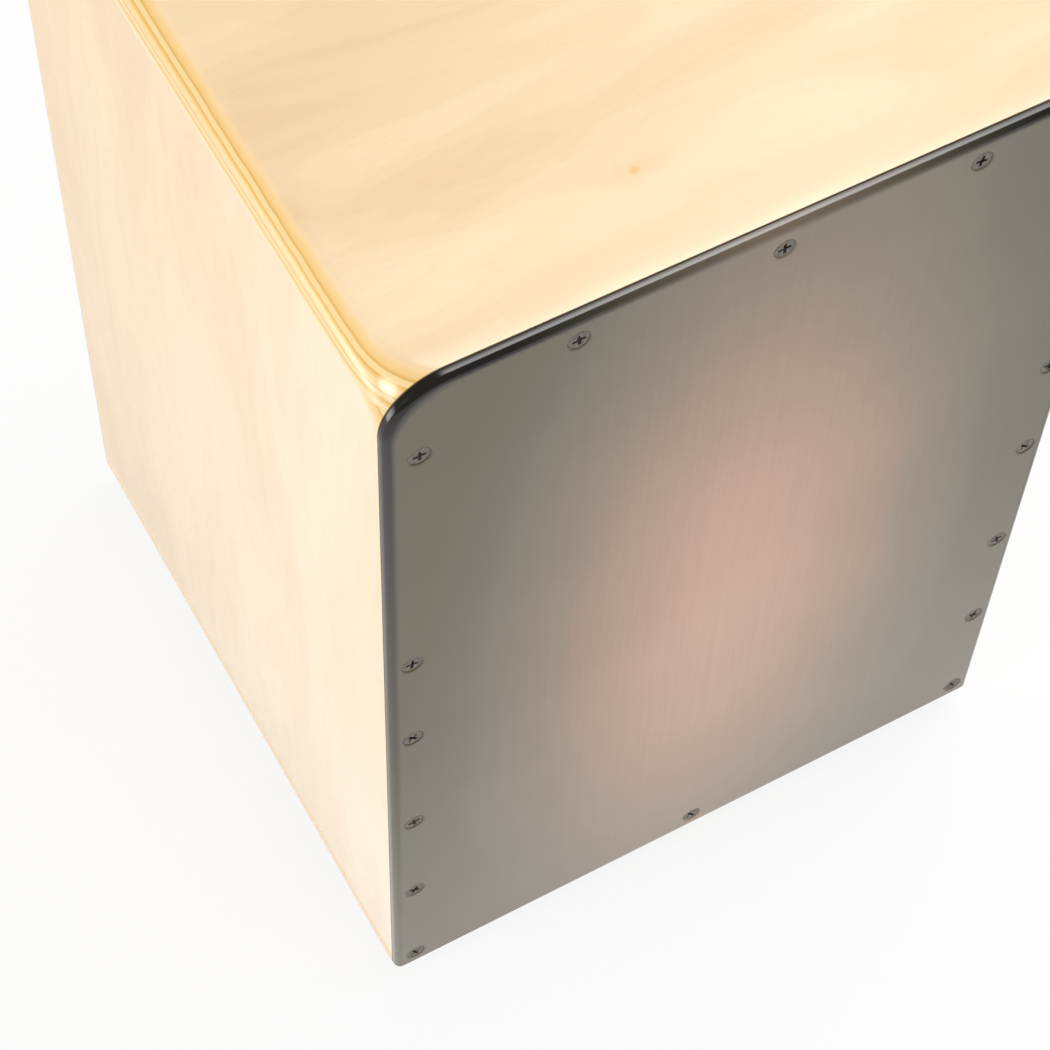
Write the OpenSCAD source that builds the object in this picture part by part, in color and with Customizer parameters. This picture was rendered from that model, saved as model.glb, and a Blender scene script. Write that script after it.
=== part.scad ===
// Snare cajon: a birch plywood box drum that is sat on and played on its front plate.
// Millimetres. X runs across the front, the front plate faces -Y and Z is up.
// The origin is on the floor, under the middle of the box.

/* [Box] */
// Width of the box across its front
body_w = 300; // [270:1:340]
// Depth from the face of the front plate to the face of the back panel
body_d = 300; // [270:1:340]
// Height of the box without its feet
body_h = 450; // [420:1:500]
// Thickness of the top, bottom and side panels
panel_t = 12; // [9:0.5:15]
// Thickness of the back panel
back_t = 6; // [4:0.5:9]
// Gap round the back panel in its opening
back_gap = 0.1; // [0.05:0.05:0.3]

/* [Rounded edges] */
// Radius of the long top edges
edge_r = 12; // [8:0.5:14]
// Radius of the two front top corners
corner_r = 25; // [16:1:32]
// Depth behind the plate over which the corners ease into the long edges
flare_len = 40; // [25:1:60]
// Radius of the bottom edges
bottom_r = 4; // [4:0.5:8]
// How far the front rim of the box is rolled in at the plate
roll_depth = 1; // [0.5:0.1:1.5]
// Depth over which that rim is rolled in
roll_len = 6; // [4:0.5:10]

/* [Front plate] */
// Thickness of the front plate
plate_t = 4; // [3.6:0.1:5]
// Width of the rounded border of the plate, seen from the front
plate_round = 2.5; // [1:0.1:3]

/* [Front plate screws] */
// Width of the countersink at the face of the plate
sink_d = 9.6; // [8:0.1:11]
// How deep the flat of a screw head lies under the face
head_depth = 0.3; // [0.1:0.1:0.6]
// Gap between a screw head and its countersink
head_gap = 0.1; // [0.05:0.05:0.3]
// Diameter of the smooth neck under a screw head
neck_d = 3.8; // [3:0.1:4.2]
// Diameter of the clearance hole through the plate
plate_hole_d = 4.6; // [4.4:0.1:5.2]
// Diameter of a screw's body in the wood
screw_d = 2.8; // [2.4:0.1:3]
// Gap round a screw's body in its pilot hole
pilot_gap = 0.1; // [0.05:0.05:0.2]
// Length of a plate screw
screw_l = 20; // [16:0.5:21]
// Drop of the top row of screws from the top of the box
top_screw_drop = 13.6; // [12.5:0.1:16]
// Spacing of the screws in the top row
top_screw_pitch = 78; // [50:1:90]
// Drop of the two corner screws from the top of the box
corner_screw_drop = 40; // [36:1:60]
// Distance of the corner screws from the side of the box
corner_screw_inset = 13.6; // [12.5:0.1:16]
// Distance of the side screws from the side of the box
side_screw_inset = 10; // [8:0.1:12]
// Height of the bottom screws over the bottom of the box
bottom_screw_rise = 11; // [9:0.5:14]

/* [Screw recess] */
// Length of the cross recess across a screw head
cross_l = 5; // [4:0.1:6]
// Width of the slots of the cross
cross_w = 1.2; // [0.8:0.1:1.5]
// Depth of the cross
cross_depth = 2; // [1:0.1:2.4]

/* [Frame strips] */
// Width and depth of the square strips inside the front and back rims
strip_w = 18; // [17:0.5:24]

/* [Panel dowels] */
// Diameter of the dowels in the panel joints
dowel_d = 6; // [5:0.5:7]
// Length of a dowel
dowel_l = 20; // [16:1:30]
// Depth of a dowel in the top or bottom panel
dowel_bite = 6; // [4:0.5:7]
// Gap round a dowel
dowel_gap = 0.1; // [0.05:0.05:0.2]
// Distance of the first and last dowel from the rims of the box
dowel_margin = 60; // [55:1:100]

/* [Sound hole] */
// Diameter of the sound hole in the back panel
hole_d = 115; // [90:1:140]
// Height of the middle of the sound hole over the bottom of the box
hole_rise = 180; // [140:1:260]

/* [Snare bar] */
// Diameter of the round bar that carries the snare wires
bar_d = 22; // [18:0.5:26]
// Radial running gap of the bar in its blocks
bar_gap = 0.05; // [0.02:0.01:0.1]
// Gap between each end of the bar and the side panel
bar_end_gap = 0.5; // [0.2:0.1:1]
// Drop of the bar from the top of the box
bar_drop = 175; // [140:1:220]
// Distance of the milled flats from the middle of the bar
flat_h = 8; // [6.5:0.1:8.5]
// Width and height of a bar block
block_w = 40; // [34:1:48]
// Thickness of a bar block
block_t = 20; // [14:1:26]
// Gap between a bar block and the front strip before it
block_gap = 1; // [0.5:0.5:10]
// Distance of a block's screws from the middle of the bar
block_screw_rise = 15.5; // [15:0.1:16]

/* [Snare wires] */
// Number of wire strands in a set
strand_count = 10; // [6:1:12]
// Spacing of the strands at their solder plate
strand_pitch = 5; // [4:0.1:5.2]
// Diameter of a strand
strand_d = 1.6; // [1.2:0.1:2]
// Length of a strand beyond the middle of its plate
strand_l = 110; // [80:1:130]
// Fan angle of the outermost strands
strand_fan = 8; // [0:1:10]
// Gap from the tips of the strands to the front plate with the snare on
snare_gap = 0.6; // [0.4:0.1:2]
// Distance of the middle of each set from its side panel
set_inset = 78; // [66:1:90]
// Thickness of a solder plate
solder_t = 1; // [0.8:0.1:1.5]
// Height of a solder plate along the strands
solder_h = 13; // [10:0.5:14]
// Width of the plate beside the outermost strand, which takes a screw
solder_ear = 10; // [9:0.5:14]
// Solder plate left below the end of a strand
solder_margin = 1; // [0.5:0.5:2]
// Length of a flat on the bar beyond each end of its solder plate
flat_margin = 2; // [1:0.5:4]

/* [Small screws] */
// Diameter of the body of the block, snare and foot screws
small_d = 3; // [2.4:0.1:3.4]
// Diameter of their pan heads
pan_d = 6; // [5:0.1:7]
// Height of their pan heads
pan_h = 2.2; // [1.8:0.1:2.6]
// Diameter of the flat on top of a pan head
pan_top_d = 4.4; // [4:0.1:5]
// Length of the cross recess in a pan head
pan_cross_l = 3.6; // [2.8:0.1:3.9]
// Depth of the block screws in the side panels
block_screw_bite = 8; // [5:0.5:8.5]
// Depth of the solder plate screws in the bar
solder_screw_bite = 10; // [6:0.5:12]
// Depth of the foot screws in the bottom panel
foot_screw_bite = 8; // [5:0.5:8.5]

/* [Feet] */
// Diameter of a rubber foot at the floor
foot_d = 32; // [26:1:40]
// Height of a rubber foot
foot_h = 12; // [9:0.5:18]
// How much wider a foot is at the box
foot_flare = 4; // [0:0.5:8]
// Bevel round the floor edge of a foot
foot_bevel = 1.5; // [0.5:0.1:3]
// Distance of the feet from the sides of the box
foot_inset = 35; // [26:1:60]
// Diameter of the washer in a foot
washer_d = 12; // [10:0.5:16]
// Thickness of a washer
washer_t = 1.2; // [0.8:0.1:2]
// Rubber left between a washer and the box
foot_web = 5; // [3:0.5:6]
// Gap round a washer in its foot
washer_gap = 0.3; // [0.1:0.1:0.5]

/* [Hidden] */
$fn = 48;

// Heights of the side screws over the bottom of the box, as the photo shows them
side_screw_rises = [76, 141, 214, 272];

// Main planes of the box
base_z = foot_h;
top_z = foot_h + body_h;
front_y = -body_d / 2;
joint_y = front_y + plate_t;
back_y = body_d / 2;
inner_x = body_w / 2 - panel_t;
inner_base_z = base_z + panel_t;
inner_top_z = top_z - panel_t;

// Steps of the rounded corners and of the stations along the depth
top_steps = 10;
bottom_steps = 5;
roll_steps = 4;
flare_steps = 8;
border_steps = 5;
flare_power = 4;

// How far cutting shapes reach past what they cut
over = 5;

// Smallest radius of a corner that is drawn in, and width of the tip of a screw
least_r = 0.4;
tip_d = 0.4;

// The two sides of the box, left first
SIDES = [-1, 1];

// Size of the snare assembly, in which the strands lie on the front of the bar's flats
strand_h = flat_h + solder_t + strand_d / 4;
set_w = (strand_count - 1) * strand_pitch;
solder_w = set_w + 2 * solder_ear;
set_offset = inner_x - set_inset;
bar_y = joint_y + strip_w + block_gap + block_w / 2;
bar_z = top_z - bar_drop;
bar_l = 2 * (inner_x - bar_end_gap);

// Lean at which the tips of the strands come within the snare gap of the front plate
tip_h = strand_h + strand_d / 2;
strand_lean = asin((bar_y - joint_y - snare_gap) / norm([tip_h, strand_l])) - atan2(tip_h, strand_l);

// Places of the front plate's screws in X and Z
top_row = [for (k = [-1:1]) [k * top_screw_pitch, top_z - top_screw_drop]];
bottom_row = [[0, base_z + bottom_screw_rise]];
side_rows = [
    for (side = SIDES, rise = concat([bottom_screw_rise], side_screw_rises))
        [side * (body_w / 2 - side_screw_inset), base_z + rise]
];
corner_spots = [
    for (side = SIDES) [side * (body_w / 2 - corner_screw_inset), top_z - corner_screw_drop]
];
fixed_spots = concat(top_row, side_rows, bottom_row);

// Places of the feet and of the dowels along the depth
foot_spots = [
    for (side = SIDES, end = SIDES)
        [side * (body_w / 2 - foot_inset), end * (body_d / 2 - foot_inset)]
];
dowel_ys = [joint_y + dowel_margin, (joint_y + back_y) / 2, back_y - dowel_margin];
dowel_x = body_w / 2 - panel_t / 2;

// Colours as the photo shows them
BIRCH = "#f3d5a3";
INNER_WOOD = "#e2bf88";
PLATE_GREY = "#8b8170";
STEEL = "#b5aea2";
RUBBER = "#2a2a2a";

// Quarter circle of n steps about [cx, cz], starting at angle a
function arc(cx, cz, r, a, n) = [
    for (i = [0:n]) [cx + r * cos(a + 90 * i / n), cz + r * sin(a + 90 * i / n)]
];

// Outline of the box in X and Z, drawn in by inset, with top corners of radius top_r
function outline(inset, top_r) = let (
    half_w = body_w / 2 - inset,
    low = base_z + inset,
    high = top_z - inset,
    rt = top_r - inset,
    rb = max(bottom_r - inset, least_r)
) concat(
    arc(half_w - rt, high - rt, rt, 0, top_steps),
    arc(rt - half_w, high - rt, rt, 90, top_steps),
    arc(rb - half_w, low + rb, rb, 180, bottom_steps),
    arc(half_w - rb, low + rb, rb, 270, bottom_steps)
);

// Inset of the rolled rim at a distance behind the plate, on a circle tangent to the box
roll_r = (roll_len * roll_len + roll_depth * roll_depth) / (2 * roll_depth);
function roll_inset(distance) = let (left = max(roll_len - distance, 0))
    roll_r - sqrt(roll_r * roll_r - left * left);

// Radius of the top edges at a distance behind the plate
function top_radius(distance) =
    edge_r + (corner_r - edge_r) * pow(max(1 - distance / flare_len, 0), flare_power);

// Solid through outlines that have as many points each, at places along Y
module skin(ys, outlines) {
    n = len(outlines[0]);
    last = len(ys) - 1;
    points = [for (k = [0:last]) for (p = outlines[k]) [p[0], ys[k], p[1]]];
    walls = [
        for (k = [0:last - 1], i = [0:n - 1])
            let (a = k * n + i, b = k * n + (i + 1) % n)
                each [[a, b, b + n], [a, b + n, a + n]]
    ];
    front_cap = [[for (i = [n - 1:-1:0]) i]];
    back_cap = [[for (i = [0:n - 1]) last * n + i]];
    polyhedron(points, concat(front_cap, walls, back_cap));
}

// Block between two opposite corners
module block(low, high) {
    translate(low) cube(high - low);
}

// Rod along X, Y or Z from a point
module rod_x(from, l, d) {
    translate(from) rotate([0, 90, 0]) cylinder(h = l, d = d);
}
module rod_y(from, l, d) {
    translate(from) rotate([-90, 0, 0]) cylinder(h = l, d = d);
}
module rod_z(from, l, d) {
    translate(from) cylinder(h = l, d = d);
}

// Outer shape of the box behind the front plate
module box_shape() {
    distances = concat(
        [for (i = [0:roll_steps]) roll_len * i / roll_steps],
        [for (i = [1:flare_steps]) roll_len + (flare_len - roll_len) * i / flare_steps],
        [back_y - joint_y]
    );
    skin(
        [for (d = distances) joint_y + d],
        [for (d = distances) outline(roll_inset(d), top_radius(d))]
    );
}

// Countersunk hole for a plate screw, from the face of the plate
module plate_hole(spot) {
    sink_r = sink_d / 2;
    hole_r = plate_hole_d / 2;
    translate([spot[0], front_y, spot[1]]) rotate([-90, 0, 0]) {
        translate([0, 0, -over]) cylinder(h = over, r = sink_r);
        cylinder(h = sink_r - hole_r, r1 = sink_r, r2 = hole_r);
        cylinder(h = plate_t + over, r = hole_r);
    }
}

// Pilot hole for a plate screw in the wood behind the plate
module plate_pilot(spot) {
    depth = screw_l - plate_t + pilot_gap;
    rod_y([spot[0], joint_y - over, spot[1]], over + depth, screw_d + 2 * pilot_gap);
}

// Pilot holes of all the plate screws
module plate_pilots() {
    for (spot = concat(fixed_spots, corner_spots)) plate_pilot(spot);
}

// Cross recess, tapered to a point, cut down from z = 0
module cross_recess() {
    h = cross_depth + over;
    taper = (cross_l - cross_w) / cross_depth;
    translate([0, 0, -cross_depth]) intersection() {
        cylinder(h = h, d1 = cross_w, d2 = cross_w + taper * h);
        for (turn = [0, 90])
            rotate(turn) translate([-cross_l / 2, -cross_w / 2, 0]) cube([cross_l, cross_w, h]);
    }
}

// Countersunk wood screw of the front plate, at its place
module plate_screw(spot) {
    head_r = sink_d / 2 - head_depth - head_gap;
    neck_r = neck_d / 2;
    cone_h = head_r - neck_r;
    neck_end = plate_t - head_depth - pilot_gap;
    body_end = screw_l - head_depth;
    tip = screw_d;
    translate([spot[0], front_y + head_depth, spot[1]]) rotate([-90, 0, 0]) {
        difference() {
            union() {
                cylinder(h = cone_h, r1 = head_r, r2 = neck_r);
                cylinder(h = neck_end, r = neck_r);
                cylinder(h = body_end - tip, d = screw_d);
                translate([0, 0, body_end - tip]) cylinder(h = tip, d1 = screw_d, d2 = tip_d);
            }
            rotate([180, 0, 0]) cross_recess();
        }
    }
}

// Pan head screw that points along +Z, with its head under z = 0
module pan_screw(l) {
    tip = small_d;
    difference() {
        union() {
            translate([0, 0, -pan_h]) cylinder(h = pan_h, d1 = pan_top_d, d2 = pan_d);
            cylinder(h = l - tip, d = small_d);
            translate([0, 0, l - tip]) cylinder(h = tip, d1 = small_d, d2 = tip_d);
        }
        translate([0, 0, -pan_h]) rotate([180, 0, 0]) scale(pan_cross_l / cross_l) cross_recess();
    }
}

// Hole for the body of a pan head screw, from z = -over up
module pan_pilot(l) {
    translate([0, 0, -over]) cylinder(h = over + l + pilot_gap, d = small_d + 2 * pilot_gap);
}

// Dowels of all the panel joints, wider and longer by a gap where they are used as holes
module dowels(gap) {
    low_zs = [inner_base_z - dowel_bite, inner_top_z + dowel_bite - dowel_l];
    for (side = SIDES, y = dowel_ys, low_z = low_zs)
        rod_z([side * dowel_x, y, low_z - gap], dowel_l + 2 * gap, dowel_d + 2 * gap);
}

// Puts what is drawn at the screws of one block, pointing from the block into the side panel
module at_block_screws(side) {
    for (end = SIDES)
        translate([side * (inner_x - block_t), bar_y, bar_z + end * block_screw_rise])
            rotate([0, side * 90, 0]) children();
}

// Puts what is drawn at each foot screw's seat, on the floor side of the washer
module at_foot_screws() {
    for (spot = foot_spots)
        translate([spot[0], spot[1], foot_h - foot_web - washer_t]) children();
}

module top_panel() {
    color(BIRCH) difference() {
        intersection() {
            box_shape();
            block([-body_w, joint_y - over, inner_top_z], [body_w, back_y + over, top_z + over]);
        }
        dowels(dowel_gap);
        plate_pilots();
    }
}

module bottom_panel() {
    color(BIRCH) difference() {
        intersection() {
            box_shape();
            block([-body_w, joint_y - over, base_z - over], [body_w, back_y + over, inner_base_z]);
        }
        dowels(dowel_gap);
        plate_pilots();
        at_foot_screws() pan_pilot(washer_t + foot_web + foot_screw_bite);
    }
}

module side_panel(side) {
    x0 = side < 0 ? -body_w : inner_x;
    x1 = side < 0 ? -inner_x : body_w;
    color(BIRCH) difference() {
        intersection() {
            box_shape();
            block([x0, joint_y - over, inner_base_z], [x1, back_y + over, inner_top_z]);
        }
        dowels(dowel_gap);
        plate_pilots();
        at_block_screws(side) pan_pilot(block_t + block_screw_bite);
    }
}

module left_side_panel() {
    side_panel(-1);
}

module right_side_panel() {
    side_panel(1);
}

module back_panel() {
    x = inner_x - back_gap;
    color(BIRCH) difference() {
        block([-x, back_y - back_t, inner_base_z + back_gap], [x, back_y, inner_top_z - back_gap]);
        rod_y([0, back_y - back_t - over, base_z + hole_rise], back_t + 2 * over, hole_d);
    }
}

module front_plate() {
    angles = [for (i = [0:border_steps]) 90 * i / border_steps];
    color(PLATE_GREY) difference() {
        skin(
            [for (a = angles) front_y + plate_t * (1 - cos(a))],
            [for (a = angles) outline(roll_depth + plate_round * (1 - sin(a)), corner_r)]
        );
        for (spot = concat(fixed_spots, corner_spots)) plate_hole(spot);
    }
}

// Strip along X at the top or bottom of a rim that starts at depth y
module level_strip(y, low_z) {
    color(INNER_WOOD) difference() {
        block([-inner_x, y, low_z], [inner_x, y + strip_w, low_z + strip_w]);
        plate_pilots();
    }
}

// Strip along Z beside a side panel, between the top and bottom strips of its rim
module upright_strip(y, low_x) {
    color(INNER_WOOD) difference() {
        block([low_x, y, inner_base_z + strip_w], [low_x + strip_w, y + strip_w, inner_top_z - strip_w]);
        plate_pilots();
    }
}

back_strip_y = back_y - back_t - strip_w;

module front_strip_top() {
    level_strip(joint_y, inner_top_z - strip_w);
}

module front_strip_bottom() {
    level_strip(joint_y, inner_base_z);
}

module front_strip_left() {
    upright_strip(joint_y, -inner_x);
}

module front_strip_right() {
    upright_strip(joint_y, inner_x - strip_w);
}

module back_strip_top() {
    level_strip(back_strip_y, inner_top_z - strip_w);
}

module back_strip_bottom() {
    level_strip(back_strip_y, inner_base_z);
}

module back_strip_left() {
    upright_strip(back_strip_y, -inner_x);
}

module back_strip_right() {
    upright_strip(back_strip_y, inner_x - strip_w);
}

module panel_dowels() {
    color(INNER_WOOD) dowels(0);
}

module plate_screws() {
    color(STEEL) for (spot = fixed_spots) plate_screw(spot);
}

module corner_screw_left() {
    color(STEEL) plate_screw(corner_spots[0]);
}

module corner_screw_right() {
    color(STEEL) plate_screw(corner_spots[1]);
}

// Wooden block on a side panel, bored for the end of the snare bar
module bar_block(side) {
    x0 = side < 0 ? -inner_x : inner_x - block_t;
    color(INNER_WOOD) difference() {
        block(
            [x0, bar_y - block_w / 2, bar_z - block_w / 2],
            [x0 + block_t, bar_y + block_w / 2, bar_z + block_w / 2]
        );
        rod_x([x0 - over, bar_y, bar_z], block_t + 2 * over, bar_d + 2 * bar_gap);
        at_block_screws(side) pan_pilot(block_t + block_screw_bite);
    }
}

module bar_block_left() {
    bar_block(-1);
}

module bar_block_right() {
    bar_block(1);
}

module bar_block_screws() {
    color(STEEL) for (side = SIDES) at_block_screws(side) pan_screw(block_t + block_screw_bite);
}

// Puts what is drawn about the middle of the bar, with Z along the strands and -Y to the front
module at_bar() {
    translate([0, bar_y, bar_z]) rotate([strand_lean, 0, 0]) children();
}

// Puts what is drawn at the screws of the solder plates, pointing from the plates into the bar
module at_solder_screws() {
    ear_x = (solder_w - solder_ear) / 2;
    for (side = SIDES, end = SIDES)
        translate([side * set_offset + end * ear_x, -flat_h - solder_t, 0]) rotate([-90, 0, 0]) children();
}

module snare_bar() {
    flat_w = solder_w + 2 * flat_margin;
    color(INNER_WOOD) at_bar() difference() {
        rod_x([-bar_l / 2, 0, 0], bar_l, bar_d);
        for (side = SIDES)
            translate([side * set_offset - flat_w / 2, -bar_d, -bar_d])
                cube([flat_w, bar_d - flat_h, 2 * bar_d]);
        at_solder_screws() pan_pilot(solder_t + solder_screw_bite);
    }
}

// Set of strands soldered to a steel plate that sits on a flat of the bar
module snare_wires(side) {
    foot_l = solder_h / 2 - solder_margin;
    color(STEEL) at_bar() difference() {
        union() {
            translate([side * set_offset - solder_w / 2, -flat_h - solder_t, -solder_h / 2])
                cube([solder_w, solder_t, solder_h]);
            for (i = [0:strand_count - 1])
                let (x = i * strand_pitch - set_w / 2)
                    translate([side * set_offset + x, -strand_h, 0])
                        rotate([0, 2 * strand_fan * x / set_w, 0])
                            translate([0, 0, -foot_l]) cylinder(h = strand_l + foot_l, d = strand_d);
        }
        at_solder_screws() pan_pilot(solder_t);
    }
}

module snare_wires_left() {
    snare_wires(-1);
}

module snare_wires_right() {
    snare_wires(1);
}

module snare_wire_screws() {
    color(STEEL) at_bar() at_solder_screws() pan_screw(solder_t + solder_screw_bite);
}

// Round rubber foot with a counterbore for its washer and screw
module foot(spot) {
    floor_r = foot_d / 2;
    seat_z = foot_h - foot_web;
    color(RUBBER) translate([spot[0], spot[1], 0]) difference() {
        union() {
            cylinder(h = foot_bevel, r1 = floor_r - foot_bevel, r2 = floor_r);
            translate([0, 0, foot_bevel])
                cylinder(h = foot_h - foot_bevel, r1 = floor_r, r2 = floor_r + foot_flare / 2);
        }
        translate([0, 0, -over]) cylinder(h = seat_z + over, d = washer_d + 2 * washer_gap);
        cylinder(h = foot_h + over, d = small_d + 2 * washer_gap);
    }
}

module foot_front_left() {
    foot(foot_spots[0]);
}

module foot_front_right() {
    foot(foot_spots[2]);
}

module foot_back_left() {
    foot(foot_spots[1]);
}

module foot_back_right() {
    foot(foot_spots[3]);
}

module foot_washers() {
    color(STEEL) at_foot_screws() difference() {
        cylinder(h = washer_t, d = washer_d);
        translate([0, 0, -over]) cylinder(h = washer_t + 2 * over, d = small_d + 2 * pilot_gap);
    }
}

module foot_screws() {
    color(STEEL) at_foot_screws() pan_screw(washer_t + foot_web + foot_screw_bite);
}

top_panel();
bottom_panel();
left_side_panel();
right_side_panel();
back_panel();
front_plate();
front_strip_top();
front_strip_bottom();
front_strip_left();
front_strip_right();
back_strip_top();
back_strip_bottom();
back_strip_left();
back_strip_right();
panel_dowels();
plate_screws();
corner_screw_left();
corner_screw_right();
bar_block_left();
bar_block_right();
bar_block_screws();
snare_bar();
snare_wires_left();
snare_wires_right();
snare_wire_screws();
foot_front_left();
foot_front_right();
foot_back_left();
foot_back_right();
foot_washers();
foot_screws();
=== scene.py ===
"""Looks of a snare cajon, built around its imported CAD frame.

The part's frame is in metres: X runs across the front, the front plate faces -Y, Z is up and the origin is
on the floor under the middle of the box. Sizes here are in millimetres, apart from the studio's, and are
turned to metres as a surface becomes a mesh or a size goes into a material. Each sub-assembly is a class
whose fields are its sizes and whose methods work out its surfaces with numpy and dress them.
"""

import logging
import math
from collections.abc import Callable, Iterable, Sequence
from dataclasses import dataclass
from enum import Enum
from functools import partial
from typing import ClassVar

import bmesh
import bpy
import numpy as np
from mathutils import Matrix, Vector
from mathutils.geometry import delaunay_2d_cdt


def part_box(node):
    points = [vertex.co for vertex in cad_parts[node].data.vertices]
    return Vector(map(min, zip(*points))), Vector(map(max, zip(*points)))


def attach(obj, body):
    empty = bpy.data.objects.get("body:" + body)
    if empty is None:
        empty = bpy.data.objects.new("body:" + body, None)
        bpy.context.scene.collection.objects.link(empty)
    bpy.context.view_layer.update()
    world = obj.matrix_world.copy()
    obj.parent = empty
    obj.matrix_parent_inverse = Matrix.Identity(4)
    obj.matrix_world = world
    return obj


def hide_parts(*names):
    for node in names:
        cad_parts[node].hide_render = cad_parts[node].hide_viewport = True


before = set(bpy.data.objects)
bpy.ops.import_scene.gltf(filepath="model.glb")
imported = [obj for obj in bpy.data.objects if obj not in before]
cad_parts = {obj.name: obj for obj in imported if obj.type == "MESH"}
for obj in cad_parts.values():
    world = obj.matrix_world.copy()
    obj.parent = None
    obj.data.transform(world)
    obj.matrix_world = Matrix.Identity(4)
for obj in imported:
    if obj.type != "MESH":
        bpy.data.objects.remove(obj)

LOG = logging.getLogger("cajon")
MM = 0.001
MERGE_DISTANCE = 0.002
NEARLY_ZERO = 1e-9
RIGHT_ANGLE = math.pi / 2

Tree, Node, Socket = bpy.types.NodeTree, bpy.types.Node, bpy.types.NodeSocket
Colour = tuple[float, float, float, float]
Adder = Callable[..., Node]
Look = tuple[Node, Node, Node]
Pair = tuple[float, float]
Triple = tuple[float, float, float]


class Axis(Enum):
    """One direction of the part's frame, as the number of its coordinate."""

    X = 0
    Y = 1
    Z = 2


class Side(Enum):
    """Left or right half of the box, as the sign of its X."""

    LEFT = -1
    RIGHT = 1


# Surfaces


@dataclass
class Surface:
    """Closed surface in millimetres, or several in one.

    Attributes:
        points: One row of X, Y and Z for each point.
        faces: The point numbers round each face.
    """

    points: np.ndarray
    faces: list[list[int]]

    def six_volumes(self) -> float:
        """Works out six times the volume, as the sum of the boxes spanned by each triangle and the origin.

        Returns:
            The sum, which is below zero where the faces point in.
        """
        total = 0.0
        for size in {len(face) for face in self.faces}:
            corners = self.points[np.array([face for face in self.faces if len(face) == size])]
            for k in range(1, size - 1):
                total += np.einsum("ij,ij->", corners[:, 0], np.cross(corners[:, k], corners[:, k + 1]))
        return float(total)

    def outward(self) -> "Surface":
        """Points the faces out, which is how the volume counts as positive.

        Returns:
            The surface, with its faces turned round if they pointed in.
        """
        if self.six_volumes() >= 0:
            return self
        return Surface(self.points, [face[::-1] for face in self.faces])

    def placed(self, turn: np.ndarray, offset: Sequence[float]) -> "Surface":
        """Turns the surface by a matrix, then moves it.

        Args:
            turn: A 3 by 3 matrix whose columns are where local X, Y and Z go.
            offset: The place of the local origin.

        Returns:
            The surface at its place, with its faces pointing out.
        """
        return Surface(self.points @ turn.T + np.asarray(offset, float), self.faces).outward()

    @staticmethod
    def joined(parts: Iterable["Surface"]) -> "Surface":
        """Joins several surfaces.

        Args:
            parts: The surfaces.

        Returns:
            One surface with all their points and faces.
        """
        points: list[np.ndarray] = []
        faces: list[list[int]] = []
        count = 0
        for part in parts:
            points.append(part.points)
            faces.extend([[corner + count for corner in face] for face in part.faces])
            count += len(part.points)
        return Surface(np.concatenate(points), faces)


def grid_faces(rows: int, columns: int, wrap_rows: bool, first: int = 0) -> list[list[int]]:
    """Makes quads between neighbours on a grid whose columns always close into a ring.

    Args:
        rows: Number of rings.
        columns: Number of points on each ring.
        wrap_rows: Whether the last ring joins the first one again.
        first: Number of the grid's first point.

    Returns:
        The quads as lists of point numbers.
    """
    number = first + np.arange(rows * columns).reshape(rows, columns)
    beside = np.roll(number, -1, axis=1)
    below, diagonal = np.roll(number, -1, axis=0), np.roll(beside, -1, axis=0)
    quads = np.stack([number, beside, diagonal, below], axis=-1)
    return (quads if wrap_rows else quads[:-1]).reshape(-1, 4).tolist()


def loft(rings: np.ndarray) -> Surface:
    """Closes a solid through rings, with a flat cap at each end.

    Args:
        rings: An array of rings, points and coordinates.

    Returns:
        The solid.
    """
    rows, columns, _ = rings.shape
    faces = grid_faces(rows, columns, wrap_rows=False)
    faces.append(list(range(columns))[::-1])
    faces.append(list(range((rows - 1) * columns, rows * columns)))
    return Surface(rings.reshape(-1, 3), faces).outward()


def torus(rings: np.ndarray) -> Surface:
    """Closes a solid through rings that come back to the first one, as round a board with a hole."""
    rows, columns, _ = rings.shape
    return Surface(rings.reshape(-1, 3), grid_faces(rows, columns, wrap_rows=True)).outward()


def revolved(profile: np.ndarray, steps: int) -> np.ndarray:
    """Carries a profile of radius and height round the Z axis.

    Args:
        profile: One row of radius and height for each point.
        steps: Number of points round the axis.

    Returns:
        The rings, one for each point of the profile.
    """
    angle = np.arange(steps) * math.tau / steps
    radius, height = profile[:, :1], profile[:, 1:]
    return np.stack([radius * np.cos(angle), radius * np.sin(angle), height + 0 * angle], axis=-1)


def quarter(distance: np.ndarray, radius: float) -> np.ndarray:
    """Returns how far a quarter round of a radius has drawn in, at a distance past where it starts."""
    reach = np.clip(distance, 0, radius)
    return radius - np.sqrt(radius**2 - reach**2)


def rounded_rectangle(half_u: float, half_v: float, radius: float, steps: int) -> np.ndarray:
    """Makes the loop of a rectangle with rounded corners: four quarter circles set at its corners.

    Args:
        half_u: Half its width.
        half_v: Half its height.
        radius: Radius of its corners.
        steps: Number of steps round each corner.

    Returns:
        One row of U and V for each point.
    """
    angle = np.linspace(0, RIGHT_ANGLE, steps + 1)
    corners = []
    for k, (side_u, side_v) in enumerate(((1, 1), (-1, 1), (-1, -1), (1, -1))):
        turned = angle + k * RIGHT_ANGLE
        u = side_u * (half_u - radius) + radius * np.cos(turned)
        v = side_v * (half_v - radius) + radius * np.sin(turned)
        corners.append(np.stack([u, v], axis=1))
    return np.concatenate(corners)


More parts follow.
